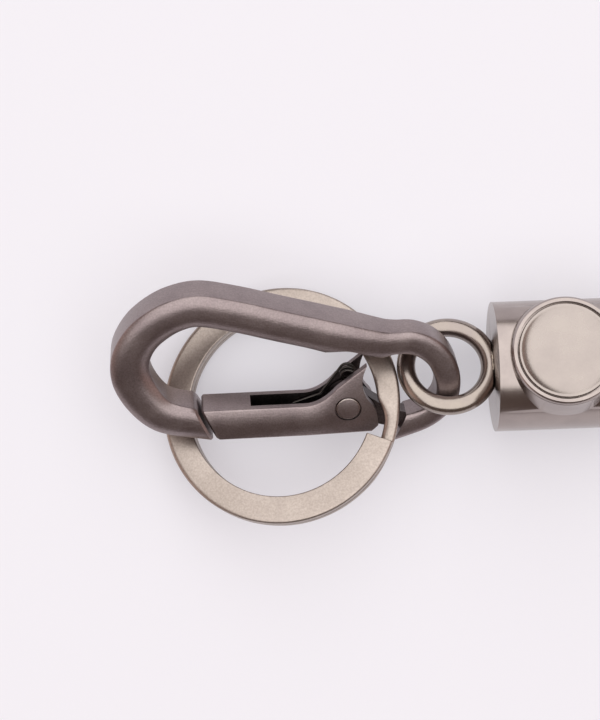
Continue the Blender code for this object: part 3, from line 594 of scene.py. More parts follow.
def crowned_section(u, v, across, outer, inner, wall, crown, corner, even=None, power=CROWN_POWER):
    outline = crowned_outline(outer, inner, wall, crown, corner, even, power)
    return [Vector((u + across.x * x, v + across.y * x, y)) for x, y in outline]


def end_on_plane(sections, point, away, chamfer=0.0):
    """Drops the last sections that reach past a slanted plane and ends the row on it."""
    while any((corner - point).dot(away) > -END_CLEAR - chamfer for corner in sections[-1]):
        sections.pop()
    along = (sections[-1][0] - sections[-2][0]).normalized()
    slope = along.dot(away)
    start = sections[-1]
    if chamfer:
        sections.append([
            corner + along * ((point - corner).dot(away) - chamfer) / slope for corner in start
        ])
    end = [corner + along * (point - corner).dot(away) / slope for corner in start]
    centre = sum(end, Vector()) / len(end)
    sections.append([corner.lerp(centre, chamfer / (corner - centre).length) for corner in end])


GATE_TOP = 0.6 * MM
GATE_HEIGHT = 4.2 * MM
GATE_RISE = 0.25 * MM
NOSE_GAP = 0.5 * MM
NOSE_REACH = 0.1 * MM
NOSE_JOINT_SHARE = 0.645
NOSE_JOINT_RUN = 1.75 * MM
END_CHAMFER = 0.28 * MM
joint_corner = Vector((-NOSE_JOINT_SHARE * BASKET_LENGTH + NOSE_GAP, GATE_TOP + GATE_RISE, 0.0))
joint_face = Vector((NOSE_JOINT_RUN, -GATE_HEIGHT, 0.0)).normalized()
joint_away = Vector((-joint_face.y, joint_face.x, 0.0))
shoulder_top = Vector((0.521 * EYE_LENGTH, -0.120 * EYE_HEIGHT, 0.0))
shoulder_low = Vector((0.430 * EYE_LENGTH, -0.300 * EYE_HEIGHT, 0.0))

sections = []
for outer_u, outer_v, inner_u, inner_v, wall, crown, even, corner in stations:
    outer_edge = Vector((outer_u, outer_v))
    across = outer_edge - Vector((inner_u, inner_v))
    width = across.length
    across.normalize()
    u, v = outer_edge - across * even
    sections.append(crowned_section(u, v, across, even, width - even, wall, crown, corner, even))
sections.reverse()
nose_end = joint_corner - joint_away * (NOSE_GAP - NOSE_REACH)
end_on_plane(sections, nose_end, joint_away, END_CHAMFER)
sections.reverse()
shoulder = shoulder_low - shoulder_top
end_on_plane(sections, shoulder_top, Vector((shoulder.y, -shoulder.x, 0.0)).normalized())
bar = loft(sections)
print(len(sections), "sections kept")

# %% [markdown]
# The tongue is the thin end of the same casting. It goes in between the gate's two cheeks and carries
# the rivet. It is a plate, joined to the bar, with the hole for the rivet's shank cut through.

# %% Join the tongue and finish the casting
TONGUE_THICKNESS = 2.1 * MM
LUG_RADIUS = 2.3 * MM
RIVET_SHANK = 0.95 * MM
FIT_GAP = 0.15 * MM
SHANK_CUT = 3.0 * MM
CAST_EDGE = 0.17 * MM
HINGE_TOLERANCE = 0.01 * MM


def eye_point(u_share, v_share):
    return (u_share * EYE_LENGTH, v_share * EYE_HEIGHT)


tongue_outline = arc(LUG_RADIUS, 52.0, 285.0, 40)
for shares in ((0.420, -0.262), (0.640, -0.240), (0.640, -0.160), (0.380, -0.085), (0.236, 0.020)):
    tongue_outline.append(eye_point(*shares))
tongue = plate(tongue_outline, -TONGUE_THICKNESS / 2, TONGUE_THICKNESS / 2)
shank_hole = RIVET_SHANK + FIT_GAP
casting = combine(bar, ("UNION", tongue), ("DIFFERENCE", rod(shank_hole, -SHANK_CUT, SHANK_CUT, 48)))


def paint_shade_between(shape, half_width):
    """Gives the second material, painted shade, to the faces that lie wholly between two planes, in the
    hinge.
    """
    for side in shape.faces:
        if all(abs(vertex.co.z) < half_width + HINGE_TOLERANCE for vertex in side.verts):
            side.material_index = 1


# The tongue's faces between the cheeks get painted shade, the dark of the gap they sit in
paint_shade_between(casting, TONGUE_THICKNESS / 2)
finish(
    "hook_casting", casting, hook_place, "hook", [cast, hinge_painted_shade], ["hook_frame"],
    CAST_EDGE,
)

# %% [markdown]
# ## The gate
# The gate is a casting of its own. A straight bar climbs at its right end into a fan, and an open
# channel runs along its top and splits the fan into two cheeks. The spring lies in that channel. The
# bar is pulled as one crowned shape, and cuts then take out the fan's hollow back, the channel, the
# mouth for the tongue, and the hole and the two recesses for the rivet.

# %% Shape the gate
FAN_FOOT = 5.2 * MM
FAN_FOOT_ARC = 2.0 * MM
FAN_PEAK = (2.45 * MM, 5.75 * MM)
FAN_SLOPE_FOOT = (1.25 * MM, 2.85 * MM)
# Hollow back of the fan in mm, from its peak down to the tail
FAN_BACK = (
    (2.45, 5.75), (1.96, 4.40), (1.84, 3.10), (2.14, 1.75), (2.60, 0.85), (3.10, 0.20), (3.40, -0.50),
    (3.60, -1.50), (3.70, -2.70),
)
GATE_TAIL = 3.70 * MM
TAIL_CORNER = 0.9 * MM
CHANNEL_WIDTH = 2.6 * MM
CHANNEL_START = -0.415 * BASKET_LENGTH
CHANNEL_FLOOR = 1.3 * MM
RIVET_HEAD = 1.5 * MM
RECESS_DEPTH = 0.6 * MM
OVER = 2.0 * MM
RUNNING_GAP = 0.3 * MM
GATE_LOW = GATE_TOP - GATE_HEIGHT
GATE_CORNER = 0.15 * MM
GATE_EDGE = 0.15 * MM
GATE_CROWN = 0.31 * MM
GATE_CROWN_POWER = 2.0
BAR_STEPS = 8
FOOT_STEPS = 18
SLOPE_STEPS = 12


def gate_edges():
    """Place, top and bottom along the gate: the level bar, the fan's foot and its straight slope."""
    edges = []
    first = joint_corner.x + NOSE_JOINT_RUN + NOSE_GAP
    for k in range(BAR_STEPS):
        rise = GATE_RISE * (1 - k / BAR_STEPS)
        edges.append((mix(first, -FAN_FOOT, k / BAR_STEPS), GATE_TOP + rise, GATE_LOW + rise))
    slope_foot = (-FAN_SLOPE_FOOT[0], FAN_SLOPE_FOOT[1])
    foot = bezier((-FAN_FOOT, GATE_TOP), (-FAN_FOOT + FAN_FOOT_ARC, GATE_TOP), slope_foot, FOOT_STEPS)
    edges += [(u, top, GATE_LOW) for u, top in foot]
    climb = (FAN_PEAK[1] - foot[-1][1]) / (FAN_PEAK[0] - foot[-1][0])
    for k in range(1, SLOPE_STEPS + 1):
        u = mix(foot[-1][0], GATE_TAIL + OVER, k / SLOPE_STEPS)
        edges.append((u, foot[-1][1] + climb * (u - foot[-1][0]), GATE_LOW))
    return edges


def gate_bar():
    rows = []
    for u, top, bottom in gate_edges():
        half = (top - bottom) / 2
        rows.append(crowned_section(
            u, top - half, Vector((0.0, 1.0)), half, half, WALL_HEIGHT, GATE_CROWN, GATE_CORNER,
            power=GATE_CROWN_POWER,
        ))
    rows.reverse()
    end_on_plane(rows, joint_corner, -joint_away, END_CHAMFER)
    return loft(rows)


far = GATE_TAIL + 2 * OVER
high = FAN_PEAK[1] + 2 * OVER
deep = WALL_HEIGHT / 2 + GATE_CROWN + OVER
tail = GATE_TAIL - TAIL_CORNER
back = [(FAN_PEAK[0], high)]
back += catmull_rom([(u * MM, v * MM) for u, v in FAN_BACK], 6)
back += [(tail, GATE_LOW), (tail, GATE_LOW - OVER), (far, GATE_LOW - OVER), (far, high)]
channel_half = CHANNEL_WIDTH / 2
channel_low = (CHANNEL_START, GATE_LOW + CHANNEL_FLOOR, -channel_half)
mouth_low = (-LUG_RADIUS - RUNNING_GAP, GATE_LOW - OVER, -channel_half)
recess = RIVET_HEAD + FIT_GAP
recess_floor = WALL_HEIGHT / 2 + GATE_CROWN - RECESS_DEPTH
gate = combine(
    gate_bar(),
    ("DIFFERENCE", plate(back, -deep, deep)),
    ("DIFFERENCE", block(channel_low, (far, high, channel_half))),
    ("DIFFERENCE", block(mouth_low, (far, high, channel_half))),
    ("DIFFERENCE", rod(shank_hole, -deep, deep, 48)),
    ("DIFFERENCE", rod(recess, recess_floor, deep, 64)),
    ("DIFFERENCE", rod(recess, -deep, -recess_floor, 64)),
)
# The faces in the channel and the mouth get painted shade, the dark inside the fan
paint_shade_between(gate, channel_half)
finish(
    "gate_casting", gate, hook_place, "gate", [cast, hinge_painted_shade], ["hook_gate"],
    GATE_EDGE,
)

# %% [markdown]
# ## The rivet
# A rivet's head is pressed in a cup die, which leaves it low and domed with a rolled rim. It is a
# turned shape, so a spun profile gives it whole, and the bevel rolls the rim. The die leaves that rim
# bright, so the faces out there take the buffed finish.

# %% Turn the rivet
RIVET_HEAD_DEPTH = 0.50 * MM
RIVET_DOME = 0.14 * MM
RIVET_EDGE = 0.14 * MM
RIVET_DOME_STEPS = 8
RIM_SHARE = 0.9
seat = WALL_HEIGHT / 2 + GATE_CROWN - RECESS_DEPTH + FIT_GAP
top = seat + RIVET_HEAD_DEPTH
dome = []
for k in range(RIVET_DOME_STEPS + 1):
    dome.append((RIVET_HEAD * k / RIVET_DOME_STEPS, top - RIVET_DOME * (k / RIVET_DOME_STEPS) ** 2))
half_rivet = dome + [(RIVET_HEAD, seat), (RIVET_SHANK, seat)]
rivet = turned(half_rivet + [(radius, -height) for radius, height in reversed(half_rivet)], 64)
for side in rivet.faces:
    if side.calc_center_median().to_2d().length > RIM_SHARE * RIVET_HEAD:
        side.material_index = 1
finish(
    "domed_rivet", rivet, hook_place, "hook", [cast, buffed], ["gate_rivet"],
    RIVET_EDGE,
)

# %% [markdown]
# ## The gate's spring
# A torsion spring of thin steel wire pushes the gate shut: one leg lies in the channel, the coil sits
# in the fan, and a short foot presses on the tongue. A curve with a round bevel is the natural way to
# make wire. It is laid in place point by point.

# %% Wind the spring
SPRING_WIRE = 0.35 * MM
SPRING_COIL_RADIUS = 0.85 * MM
SPRING_TURNS = 2
SPRING_CENTRE = Vector((0.25 * MM, 3.75 * MM))
SPRING_ELBOW = Vector((-3.2 * MM, 0.5 * MM))
SPRING_TIP = Vector((-6.6 * MM, -0.6 * MM))
SPRING_FOOT_DEGREES = 20.0
SPRING_FOOT = 1.8 * MM
COIL_STEPS = 60
LEG_PARTS = 4
reach = SPRING_CENTRE - SPRING_ELBOW
start = math.atan2(reach.y, reach.x) + math.asin(SPRING_COIL_RADIUS / reach.length) + math.pi / 2
end = math.radians(SPRING_FOOT_DEGREES) - math.tau * SPRING_TURNS
spread = (CHANNEL_WIDTH - SPRING_WIRE - 2 * FIT_GAP) / 2
coil = []
for k in range(COIL_STEPS + 1):
    angle = mix(start, end, k / COIL_STEPS)
    spot = SPRING_CENTRE + Vector((math.cos(angle), math.sin(angle))) * SPRING_COIL_RADIUS
    coil.append(Vector((*spot, mix(-spread, spread, k / COIL_STEPS))))
route = []
for leg_start, leg_end in ((SPRING_TIP, SPRING_ELBOW), (SPRING_ELBOW, coil[0].to_2d())):
    route += [Vector((*leg_start.lerp(leg_end, k / LEG_PARTS), -spread)) for k in range(LEG_PARTS)]
route += coil + [coil[-1] + Vector((math.sin(end), -math.cos(end), 0.0)) * SPRING_FOOT]
wire = bpy.data.curves.new("torsion_spring", "CURVE")
wire.dimensions = "3D"
line = wire.splines.new("POLY")
line.points.add(len(route) - 1)
for knot, point in zip(line.points, route):
    knot.co = (*(hook_place @ point), 1.0)
wire.bevel_depth = SPRING_WIRE / 2
wire.bevel_resolution = 3
wire.use_fill_caps = True
wire.materials.append(spring_metal)
spring = new_object("torsion_spring", wire)
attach(spring, "gate")
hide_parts("gate_spring")
print(len(route), "points on the spring")

# %% [markdown]
# ## The split ring
# A key ring is nearly two turns of flat wire. Where the upper turn dives beneath its own cut end, the
# wire is drawn down to half its width, which is what lets the turns lie flat. The section keeps its
# four rounded corners and changes its width, its corners and its height along the way. The upper
# outer corner is rolled wider than the others, as the photograph's bright rim shows.

# %% Wind the split ring
SPLIT_NECK = 1.75 * MM
SPLIT_LAYER = 1.05 * MM
SPLIT_LAYER_GAP = 0.1 * MM
SPLIT_START_DEGREES = -21.2
SPLIT_DIVE_DEGREES = (3.0, -22.0)
SPLIT_NECK_INSET = 0.08 * MM
SPLIT_LOWER_END_DEGREES = 35.0
SPLIT_TAPER_DEGREES = 60.0
SPLIT_EARLY_TAPER_SHARE = 0.35
SPLIT_DIVE_TAPER_SHARE = 0.6
SPLIT_STEP_DEGREES = 2.0
SPLIT_CORNER_STEPS = 5
SPLIT_CORNER = 0.18 * MM
SPLIT_EDGE = 0.12 * MM
# Run across the band and rise up the wire of the rolled corner
SPLIT_ROLLED = (0.62 * MM, 0.42 * MM)
# How much of its width and half thickness a corner takes in the neck
NECK_ROUND = (0.48, 0.96)


def split_station(degrees):
    """Angle, height, band width and roundness of the wire at a travelled angle."""
    place = SPLIT_START_DEGREES - degrees
    high = (SPLIT_LAYER + SPLIT_LAYER_GAP) / 2
    dive_start = place - (SPLIT_DIVE_DEGREES[0] - 360.0)
    dive_length = SPLIT_DIVE_DEGREES[0] - SPLIT_DIVE_DEGREES[1]
    height = mix(high, -high, smooth(-dive_start / dive_length))
    before = min(max((place + 360.0 - SPLIT_DIVE_DEGREES[0]) / SPLIT_TAPER_DEGREES, 0.0), 1.0)
    after = min(max((SPLIT_DIVE_DEGREES[1] - 360.0 - place) / dive_length, 0.0), 1.0)
    window = SPLIT_BAND - (SPLIT_BAND - SPLIT_NECK) * SPLIT_EARLY_TAPER_SHARE * (1 - before)
    into = smooth(-dive_start / (dive_length * SPLIT_DIVE_TAPER_SHARE))
    width = mix(mix(window, SPLIT_NECK, into), SPLIT_BAND, smooth(after))
    return place, height, width, (SPLIT_BAND - width) / (SPLIT_BAND - SPLIT_NECK)


travel = 720.0 - (SPLIT_LOWER_END_DEGREES - SPLIT_START_DEGREES)
steps = round(travel / SPLIT_STEP_DEGREES)
half = SPLIT_LAYER / 2
sections = []
for k in range(steps + 1):
    place, height, width, neck = split_station(travel * k / steps)
    out = Vector((math.cos(math.radians(place)), math.sin(math.radians(place)), 0.0))
    outer = SPLIT_RADIUS - SPLIT_NECK_INSET * smooth(neck) ** 2
    inner = outer - width
    round_neck = smooth(neck)
    in_neck = NECK_ROUND[0] * width, NECK_ROUND[1] * half
    plain, rolled = (
        [mix(size, end, round_neck) for size, end in zip(corner, in_neck)]
        for corner in ((SPLIT_CORNER, SPLIT_CORNER), SPLIT_ROLLED)
    )
    outline = []
    for side, level, run, rise in ((1, -1, *plain), (1, 1, *rolled), (-1, 1, *plain), (-1, -1, *plain)):
        corner = Vector((outer if side > 0 else inner, level * half))
        ends = [corner - Vector((0, level * rise)), corner - Vector((side * run, 0))]
        if side * level < 0:
            ends.reverse()
        outline += bezier(ends[0], corner, ends[1], SPLIT_CORNER_STEPS)
    sections.append([out * radius + Vector((0, 0, height + level)) for radius, level in outline])
finish(
    "flat_split_ring", loft(sections), split_place, "ring", [tumbled], ["split_ring"],
    SPLIT_EDGE, 50.0,
)

# %% [markdown]
# ## The wire ring and its braze
# The ring that stands in the ferrule's end is round wire, polished. It was brazed in its slot, and a
# few bright bits of filler metal stayed in the corner.

# %% Bend the wire ring and lay the braze
finish(
    "round_wire_ring", torus(WIRE_RING_RADIUS, WIRE / 2, 128, 32), ring_place, "ferrule", [polished],
    ["wire_ring"],
)
# Place along the joint and radius of each bit in mm, and how far a point of it may be off
BRAZE_BITS = ((-0.85, 0.16), (-0.35, 0.24), (0.15, 0.20), (0.6, 0.28), (1.1, 0.15))
BRAZE_WOBBLE = 0.02
BRAZE_LIFT = 1.02 * MM
BRAZE_SINK = 0.1 * MM
dice = random.Random(7)
bits = bmesh.new()
for along, size in BRAZE_BITS:
    made = bmesh.ops.create_icosphere(bits, subdivisions=3, radius=size * MM)["verts"]
    bmesh.ops.scale(bits, verts=made, vec=(0.9, 1.9, 1.2))
    for vertex in made:
        vertex.co += Vector([dice.uniform(-BRAZE_WOBBLE, BRAZE_WOBBLE) * MM for _ in range(3)])
    bmesh.ops.smooth_vert(bits, verts=made, factor=0.5, use_axis_x=True, use_axis_y=True, use_axis_z=True)
    bmesh.ops.translate(bits, verts=made, vec=(ring_reach - BRAZE_SINK, along * MM, BRAZE_LIFT))
finish("braze_bits", bits, ring_place, "ferrule", [filler], ["braze_bead"])

# %% [markdown]
# ## The ferrule, its medallion and the collar
# The ferrule is a turned cup with a round boss on its side, cast in one. The boss meets the barrel in
# a saddle line that only a Boolean gives truly. The disc sits in the boss behind a dark groove, and
# its face is left bare. A collar closes the cup round the strap.

# %% Turn and join the ferrule
FERRULE_LENGTH = 16.0 * MM
FERRULE_END_WALL = 3.2 * MM
FERRULE_SIDE_WALL = 1.1 * MM
BOSS_TOP_RADIUS = 6.5 * MM
BOSS_PROUD = 0.9 * MM
BOSS_FOOT = 4.6 * MM
BOSS_DRAFT_DEGREES = 9.0
# Steps of the boss's wall in mm, out from its top radius and down from its top. They draw the fine
# dark line round the boss.
BOSS_WALL = ((0.12, 0.62), (-0.05, 0.62), (-0.05, 0.48), (0.10, 0.46), (0.03, 0.22), (-0.18, 0.0))
GROOVE_PLAY = 0.2 * MM
FERRULE_EDGE = 0.16 * MM
MEDALLION_RADIUS = 5.8 * MM
MEDALLION_THICKNESS = 0.9 * MM
boss_top = FERRULE_RADIUS + BOSS_PROUD
pocket_floor = boss_top - MEDALLION_THICKNESS - FIT_GAP
middle = Matrix.Translation((FERRULE_LENGTH / 2, 0.0, 0.0))
lying = turn(90, "Y")
foot_radius = BOSS_TOP_RADIUS + (boss_top - BOSS_FOOT) * math.tan(math.radians(BOSS_DRAFT_DEGREES))
boss_profile = [(0.0, BOSS_FOOT), (foot_radius, BOSS_FOOT)]
boss_profile += [(BOSS_TOP_RADIUS + out * MM, boss_top - down * MM) for out, down in BOSS_WALL]
boss_profile.append((0.0, boss_top))
boss = turned(boss_profile, 128)
bore_radius = FERRULE_RADIUS - FERRULE_SIDE_WALL
groove = torus(WIRE_RING_RADIUS, WIRE / 2 + GROOVE_PLAY, 96, 24)
ferrule = combine(
    moved(rod(FERRULE_RADIUS, 0.0, FERRULE_LENGTH, 160), lying),
    ("DIFFERENCE", moved(groove, ferrule_place.inverted() @ ring_place)),
    ("UNION", moved(boss, middle)),
    ("DIFFERENCE", moved(rod(bore_radius, FERRULE_END_WALL, FERRULE_LENGTH + OVER), lying)),
    ("DIFFERENCE", moved(rod(MEDALLION_RADIUS + FIT_GAP, pocket_floor, boss_top + OVER), middle)),
)
finish(
    "turned_ferrule", ferrule, ferrule_place, "ferrule", [buffed], ["ferrule_body"],
    FERRULE_EDGE, 38.0,
)

# %% Turn the medallion and the collar
medallion_low = pocket_floor + FIT_GAP
RIM_INNER = 5.42 * MM
FIELD_RADIUS = 3.9 * MM
FIELD_DROP = 0.36 * MM
FIELD_STEPS = 12
FIELD_CURVE = 2.2
FIELD_CENTRE = 2.0 * MM
CENTRE_DROP = 0.01 * MM
DISC_GAP = 0.08 * MM
MEDALLION_EDGE = 0.14 * MM
COLLAR_THICKNESS = 1.6 * MM
COLLAR_EDGE = 0.10 * MM
disc_radius = MEDALLION_RADIUS - DISC_GAP
rim_top = boss_top - 0.02 * MM
profile = [(0.0, medallion_low), (disc_radius, medallion_low), (disc_radius, rim_top)]
for k in range(FIELD_STEPS + 1):
    share = k / FIELD_STEPS
    eased = 1 - (1 - share) ** FIELD_CURVE
    profile.append((mix(RIM_INNER, FIELD_RADIUS, share), rim_top - FIELD_DROP * eased))
field = profile[-1][1] - CENTRE_DROP
profile += [(FIELD_CENTRE, field), (0.0, field)]
medallion = moved(turned(profile, 128), middle)
finish(
    "plain_medallion", medallion, ferrule_place, "ferrule", [disc_plate], ["badge_medallion"],
    MEDALLION_EDGE, 40.0,
)
STRAP_WIDTH = 11.0 * MM
OUTER_PLY = 1.2 * MM
LINING_PLY = 0.9 * MM
PLY_GAP = 0.15 * MM
leg_spread = PLY_GAP / 2 + LINING_PLY + PLY_GAP
slot_width = STRAP_WIDTH / 2 + FIT_GAP
slot_height = leg_spread + PLY_GAP / 2 + OUTER_PLY + FIT_GAP
slot = block((0.0, -slot_width, -slot_height), (FERRULE_LENGTH + OVER, slot_width, slot_height))
collar = combine(
    moved(rod(bore_radius - FIT_GAP, FERRULE_LENGTH - COLLAR_THICKNESS, FERRULE_LENGTH), lying),
    ("DIFFERENCE", slot),
)
finish(
    "slotted_collar", collar, ferrule_place, "ferrule", [buffed], ["strap_collar"],
    COLLAR_EDGE,
)
# The pin under the medallion keeps its CAD shape, because nothing of it shows
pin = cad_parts["strap_pin"]
pin.data.materials.clear()
pin.data.materials.append(spring_metal)

# %% [markdown]
# ## The leather strap
# The strap is one strip of two plies, glued, folded back to a loop and held in the ferrule. Each ply
# is an outline pulled along the glue line. The outline carries what the hand of a leather worker
# leaves: a groove beside each edge for the stitches, and edges rounded and painted.

# %% The strip's glue line
STRAP_LENGTH = 72.0 * MM
STRAP_TUCK = 11.5 * MM
LOOP_RADIUS = 4.2 * MM
rest = LOOP_RADIUS + PLY_GAP / 2 + OUTER_PLY
loop_end = FERRULE_LENGTH + STRAP_LENGTH - rest
LEG_STEPS = 120
FOLD_STEPS = 40
# Lengths over which the strap sinks to the table, loses the ferrule's roll and opens to the loop
DROP_LENGTH = 40.0 * MM
UNTWIST_LENGTH = 30.0 * MM
OPENING_LENGTH = 46.0 * MM


def glue_line():
    """Points and width directions of the glue line, round the loop and back."""
    lower = []
    upper = []
    for k in range(LEG_STEPS + 1):
        x = mix(FERRULE_LENGTH - STRAP_TUCK, loop_end, k / LEG_STEPS)
        out = x - FERRULE_LENGTH
        level = mix(FERRULE_RADIUS, rest, smooth(out / DROP_LENGTH))
        roll = math.radians(FERRULE_ROLL_DEGREES) * (1 - smooth(out / UNTWIST_LENGTH))
        opened = smooth((x - loop_end + OPENING_LENGTH) / OPENING_LENGTH)
        apart_by = mix(leg_spread, LOOP_RADIUS, opened)
        width = Vector((0, math.cos(roll), math.sin(roll)))
        apart = Vector((0, -math.sin(roll), math.cos(roll)))
        lower.append((Vector((x, 0, level)) - apart * apart_by, width))
        upper.append((Vector((x, 0, level)) + apart * apart_by, width))
    fold = []
    for k in range(1, FOLD_STEPS):
        angle = mix(-math.pi / 2, math.pi / 2, k / FOLD_STEPS)
        spot = Vector((loop_end, 0, rest)) + Vector((math.cos(angle), 0, math.sin(angle))) * LOOP_RADIUS
        fold.append((spot, Vector((0, 1, 0))))
    return lower + fold + list(reversed(upper))


glue = glue_line()
frames = []
for i, (spot, width) in enumerate(glue):
    along = (glue[min(i + 1, len(glue) - 1)][0] - glue[max(i - 1, 0)][0]).normalized()
    frames.append((spot, width, width.cross(along).normalized(), along))
print(len(frames), "stations on the strap")

# %% Pull the two plies
STITCH_INSET = 1.5 * MM
SEAM = STRAP_WIDTH / 2 - STITCH_INSET
GROOVE_FOOT = 0.2 * MM
GROOVE_LIP = 0.45 * MM
GROOVE_CORNER = 0.08 * MM
OUTER_CORNER = 0.35 * MM
INNER_CORNER = 0.12 * MM
SWELL_AT = 1.3 * MM
SWELL = 0.04 * MM


def ply_outline(thickness, groove):
    """Outer face up: slightly swollen with two grooves, rounded edges, flat inner face."""
    edge = STRAP_WIDTH / 2
    top = thickness / 2
    left = [(-edge, top, OUTER_CORNER), (-SEAM - GROOVE_LIP, top, GROOVE_CORNER)]
    left += [(-SEAM + foot, top - groove, GROOVE_CORNER) for foot in (-GROOVE_FOOT, GROOVE_FOOT)]
    left += [(-SEAM + GROOVE_LIP, top, GROOVE_CORNER), (-SWELL_AT, top + SWELL, 0.0)]
    corners = left + [(-x, y, radius) for x, y, radius in reversed(left)]
    corners += [(edge, -top, INNER_CORNER), (-edge, -top, INNER_CORNER)]
    return rounded([(x, y) for x, y, radius in corners], [radius for x, y, radius in corners])


PAINTED_WIDTH = 0.2 * MM


def make_ply(name, offset, thickness, groove, face_up, face, replaced):
    outline = ply_outline(thickness, groove)
    sections = []
    for spot, width, outward, along in frames:
        up = outward * face_up
        sections.append([spot + outward * offset + width * x + up * y for x, y in outline])
    shape = loft(sections)
    number = shape.verts.layers.int.active
    on_edge = {k for k, (x, y) in enumerate(outline) if abs(x) > STRAP_WIDTH / 2 - PAINTED_WIDTH}
    for side in shape.faces:
        if len(side.verts) == 4 and all(vertex[number] in on_edge for vertex in side.verts):
            side.material_index = 1
    finish(name, shape, table_place, "ferrule", [face, edge_paint], [replaced], 0.0, 60.0)


make_ply(
    "strap_hide", (PLY_GAP + OUTER_PLY) / 2, OUTER_PLY, 0.16 * MM, 1, hide, "strap_outer",
)
make_ply(
    "strap_backing", -(PLY_GAP + LINING_PLY) / 2, LINING_PLY, 0.10 * MM, -1, lining, "strap_lining",
)

# %% [markdown]
# ## The stitching
# Saddle stitch leaves a short slanted stitch in every space between two holes, the same on both
# sides. One stitch is a small round bead drawn long. It is set down along the grooves at even steps
# of the strip's own length, so the pitch stays even round the loop.

# %% Sew the strap
PITCH = 3.0 * MM
STITCH = 2.3 * MM
THREAD = 0.5 * MM
SLANT = math.radians(9.0)
STITCH_HEIGHT = 0.85
FIRST_HOLE = 1.2 * MM
CLOSED_LEGS = 30.0 * MM
OUTER_SINK = 0.06 * MM
INNER_SINK = 0.04 * MM
travelled = [0.0]
for before, after in zip(frames, frames[1:]):
    travelled.append(travelled[-1] + (after[0] - before[0]).length)
first = STRAP_TUCK + FIRST_HOLE
last = travelled[-1] - first
seam = bmesh.new()
count = int((last - first) / PITCH)
made = 0
station = 0
for k in range(count + 1):
    at = first + (last - first) * k / count
    while travelled[station + 1] < at:
        station += 1
    share = (at - travelled[station]) / (travelled[station + 1] - travelled[station])
    a, b = frames[station], frames[station + 1]
    spot, width, outward, along = (a[i].lerp(b[i], share) for i in range(4))
    faces = [(PLY_GAP / 2 + OUTER_PLY - OUTER_SINK, 1)]
    # The inner face is sewn too, but its stitches have room only where the two legs stand apart
    if min(at, travelled[-1] - at) > STRAP_TUCK + CLOSED_LEGS:
        faces.append((-(PLY_GAP / 2 + LINING_PLY - INNER_SINK), -1))
    for level, sign in faces:
        for side in (-1, 1):
            made += 1
            new = bmesh.ops.create_uvsphere(seam, u_segments=8, v_segments=5, radius=THREAD / 2)["verts"]
            bmesh.ops.scale(seam, verts=new, vec=(STITCH / THREAD, 1.0, STITCH_HEIGHT))
            bmesh.ops.rotate(seam, verts=new, matrix=Matrix.Rotation(SLANT * sign, 3, "Z"))
            axes = Matrix((along, width, outward)).transposed().to_4x4()
            place = Matrix.Translation(spot + outward * level + width * (side * SEAM)) @ axes
            bmesh.ops.transform(seam, matrix=place, verts=new)
# The strip's three directions make a left-handed frame, which turns the beads inside out
bmesh.ops.recalc_face_normals(seam, faces=seam.faces)
finish("saddle_stitches", seam, table_place, "ferrule", [thread], ())
print(made, "stitches")

# %% [markdown]
# ## Camera, floor and light
# The photograph looks straight down. The ferrule's axis is turned 2.15 degrees in the picture, and
# the middle of the picture lies 24 mm in front of the ferrule's end. A metal shows what stands round
# it, so the light is one wide soft box: from low over the top of the picture to past overhead. Below
# the picture the room stays dimmer, and that is the dark band along the lower side of every piece.

# %% Place the camera
PICTURE_TURN = math.radians(-2.15)
CAMERA_HEIGHT = 235 * MM
PICTURE_CENTRE = Vector((-23.85 * MM, 0.83 * MM, 0.0))
in_picture = Matrix.Rotation(PICTURE_TURN, 3, "Z") @ PICTURE_CENTRE
camera_data = bpy.data.cameras.new("camera")
camera_data.lens = 91.8
camera_data.sensor_width = 36.0
camera_data.clip_start = 0.01
camera = new_object("camera", camera_data)
camera.location = (face_middle.x + in_picture.x, face_middle.y + in_picture.y, CAMERA_HEIGHT)
camera.rotation_euler = (0.0, 0.0, PICTURE_TURN)
bpy.context.scene.camera = camera

# %% [markdown]
# The floor is plain matte paper. A camera sees it as pale as the photograph's background because it
# glows a little for camera rays. Glossy and transmission rays see the same glow, so that the metal
# mirrors that background. The glow lights nothing, and the paper keeps the shadow.

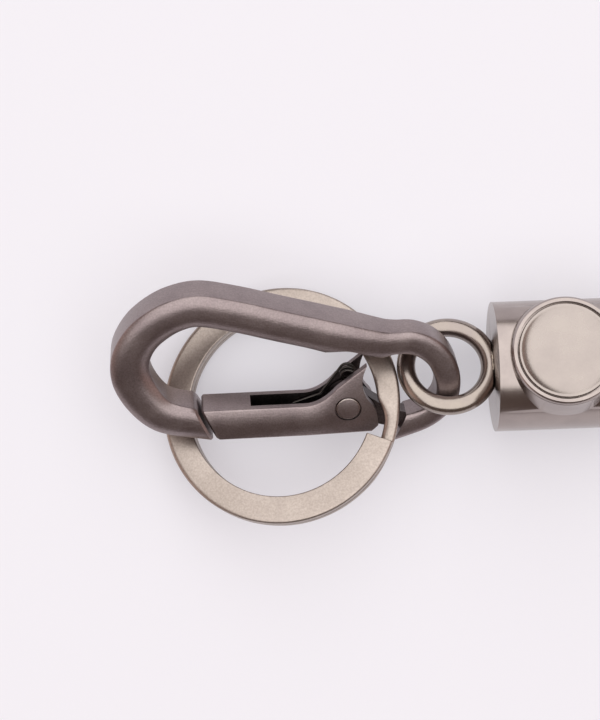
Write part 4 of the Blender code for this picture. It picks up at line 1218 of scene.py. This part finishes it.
# %% Lay the floor
FLOOR_REACH = 6.0
FLOOR_GLOW = 0.40
floor_shape = bmesh.new()
bmesh.ops.create_grid(floor_shape, x_segments=1, y_segments=1, size=FLOOR_REACH)
floor = mesh_object("floor", floor_shape)
paper, shader = new_material("matte_paper", "#b9b8bc", 0.0, 0.9)
seen = add_node(paper, "ShaderNodeLightPath").outputs
shown = seen["Is Camera Ray"]
for ray in ("Is Glossy Ray", "Is Transmission Ray"):
    either = add_node(paper, "ShaderNodeMath", {"operation": "MAXIMUM"}, {0: shown, 1: seen[ray]})
    shown = either.outputs["Value"]
glow = add_node(paper, "ShaderNodeMath", {"operation": "MULTIPLY"}, {0: shown})
glow.inputs[1].default_value = FLOOR_GLOW
paper.node_tree.links.new(glow.outputs["Value"], shader.inputs["Emission Strength"])
shader.inputs["Emission Color"].default_value = srgb("#f1eff6")
floor.data.materials.append(paper)

# %% [markdown]
# The room is a dim warm world. Its left and right walls are brighter, and they light the ends of the
# pieces that point there. The world's brightness follows how far a direction leans to the side.

# %% Light it
WALL_START = 0.6
WALL_FULL = 0.97
ROOM_STRENGTH = 0.16
WALL_STRENGTH = 0.85
world = bpy.data.worlds.new("studio")
bpy.context.scene.world = world
world.use_nodes = True
background = world.node_tree.nodes["Background"]
background.inputs["Color"].default_value = srgb("#ffdfd4")
direction = add_node(world, "ShaderNodeTexCoord").outputs["Generated"]
parts = add_node(world, "ShaderNodeSeparateXYZ", None, {"Vector": direction})
sideways = add_node(world, "ShaderNodeMath", {"operation": "ABSOLUTE"}, {"Value": parts.outputs["X"]})
walls = add_node(
    world, "ShaderNodeMapRange",
    {
        "From Min": WALL_START, "From Max": WALL_FULL,
        "To Min": ROOM_STRENGTH, "To Max": WALL_STRENGTH,
    },
    {"Value": sideways.outputs["Value"]},
)
world.node_tree.links.new(walls.outputs["Result"], background.inputs["Strength"])


def soft_box(name, size, power, location, aim):
    lamp = bpy.data.lights.new(name, "AREA")
    lamp.shape = "RECTANGLE"
    lamp.size, lamp.size_y = size
    lamp.energy = power
    box = new_object(name, lamp)
    box.location = location
    box.rotation_euler = (Vector(aim) - Vector(location)).to_track_quat("-Z", "Y").to_euler()


# One metre up, it reaches from 0.8 m below the picture's middle to 8 m above it
soft_box("overhead_box", (1.6, 8.8), 75.6, (0.0, 3.6, 1.0), (0.0, 3.6, 0.0))

# %% Set the view
bpy.context.scene.view_settings.view_transform = "Standard"
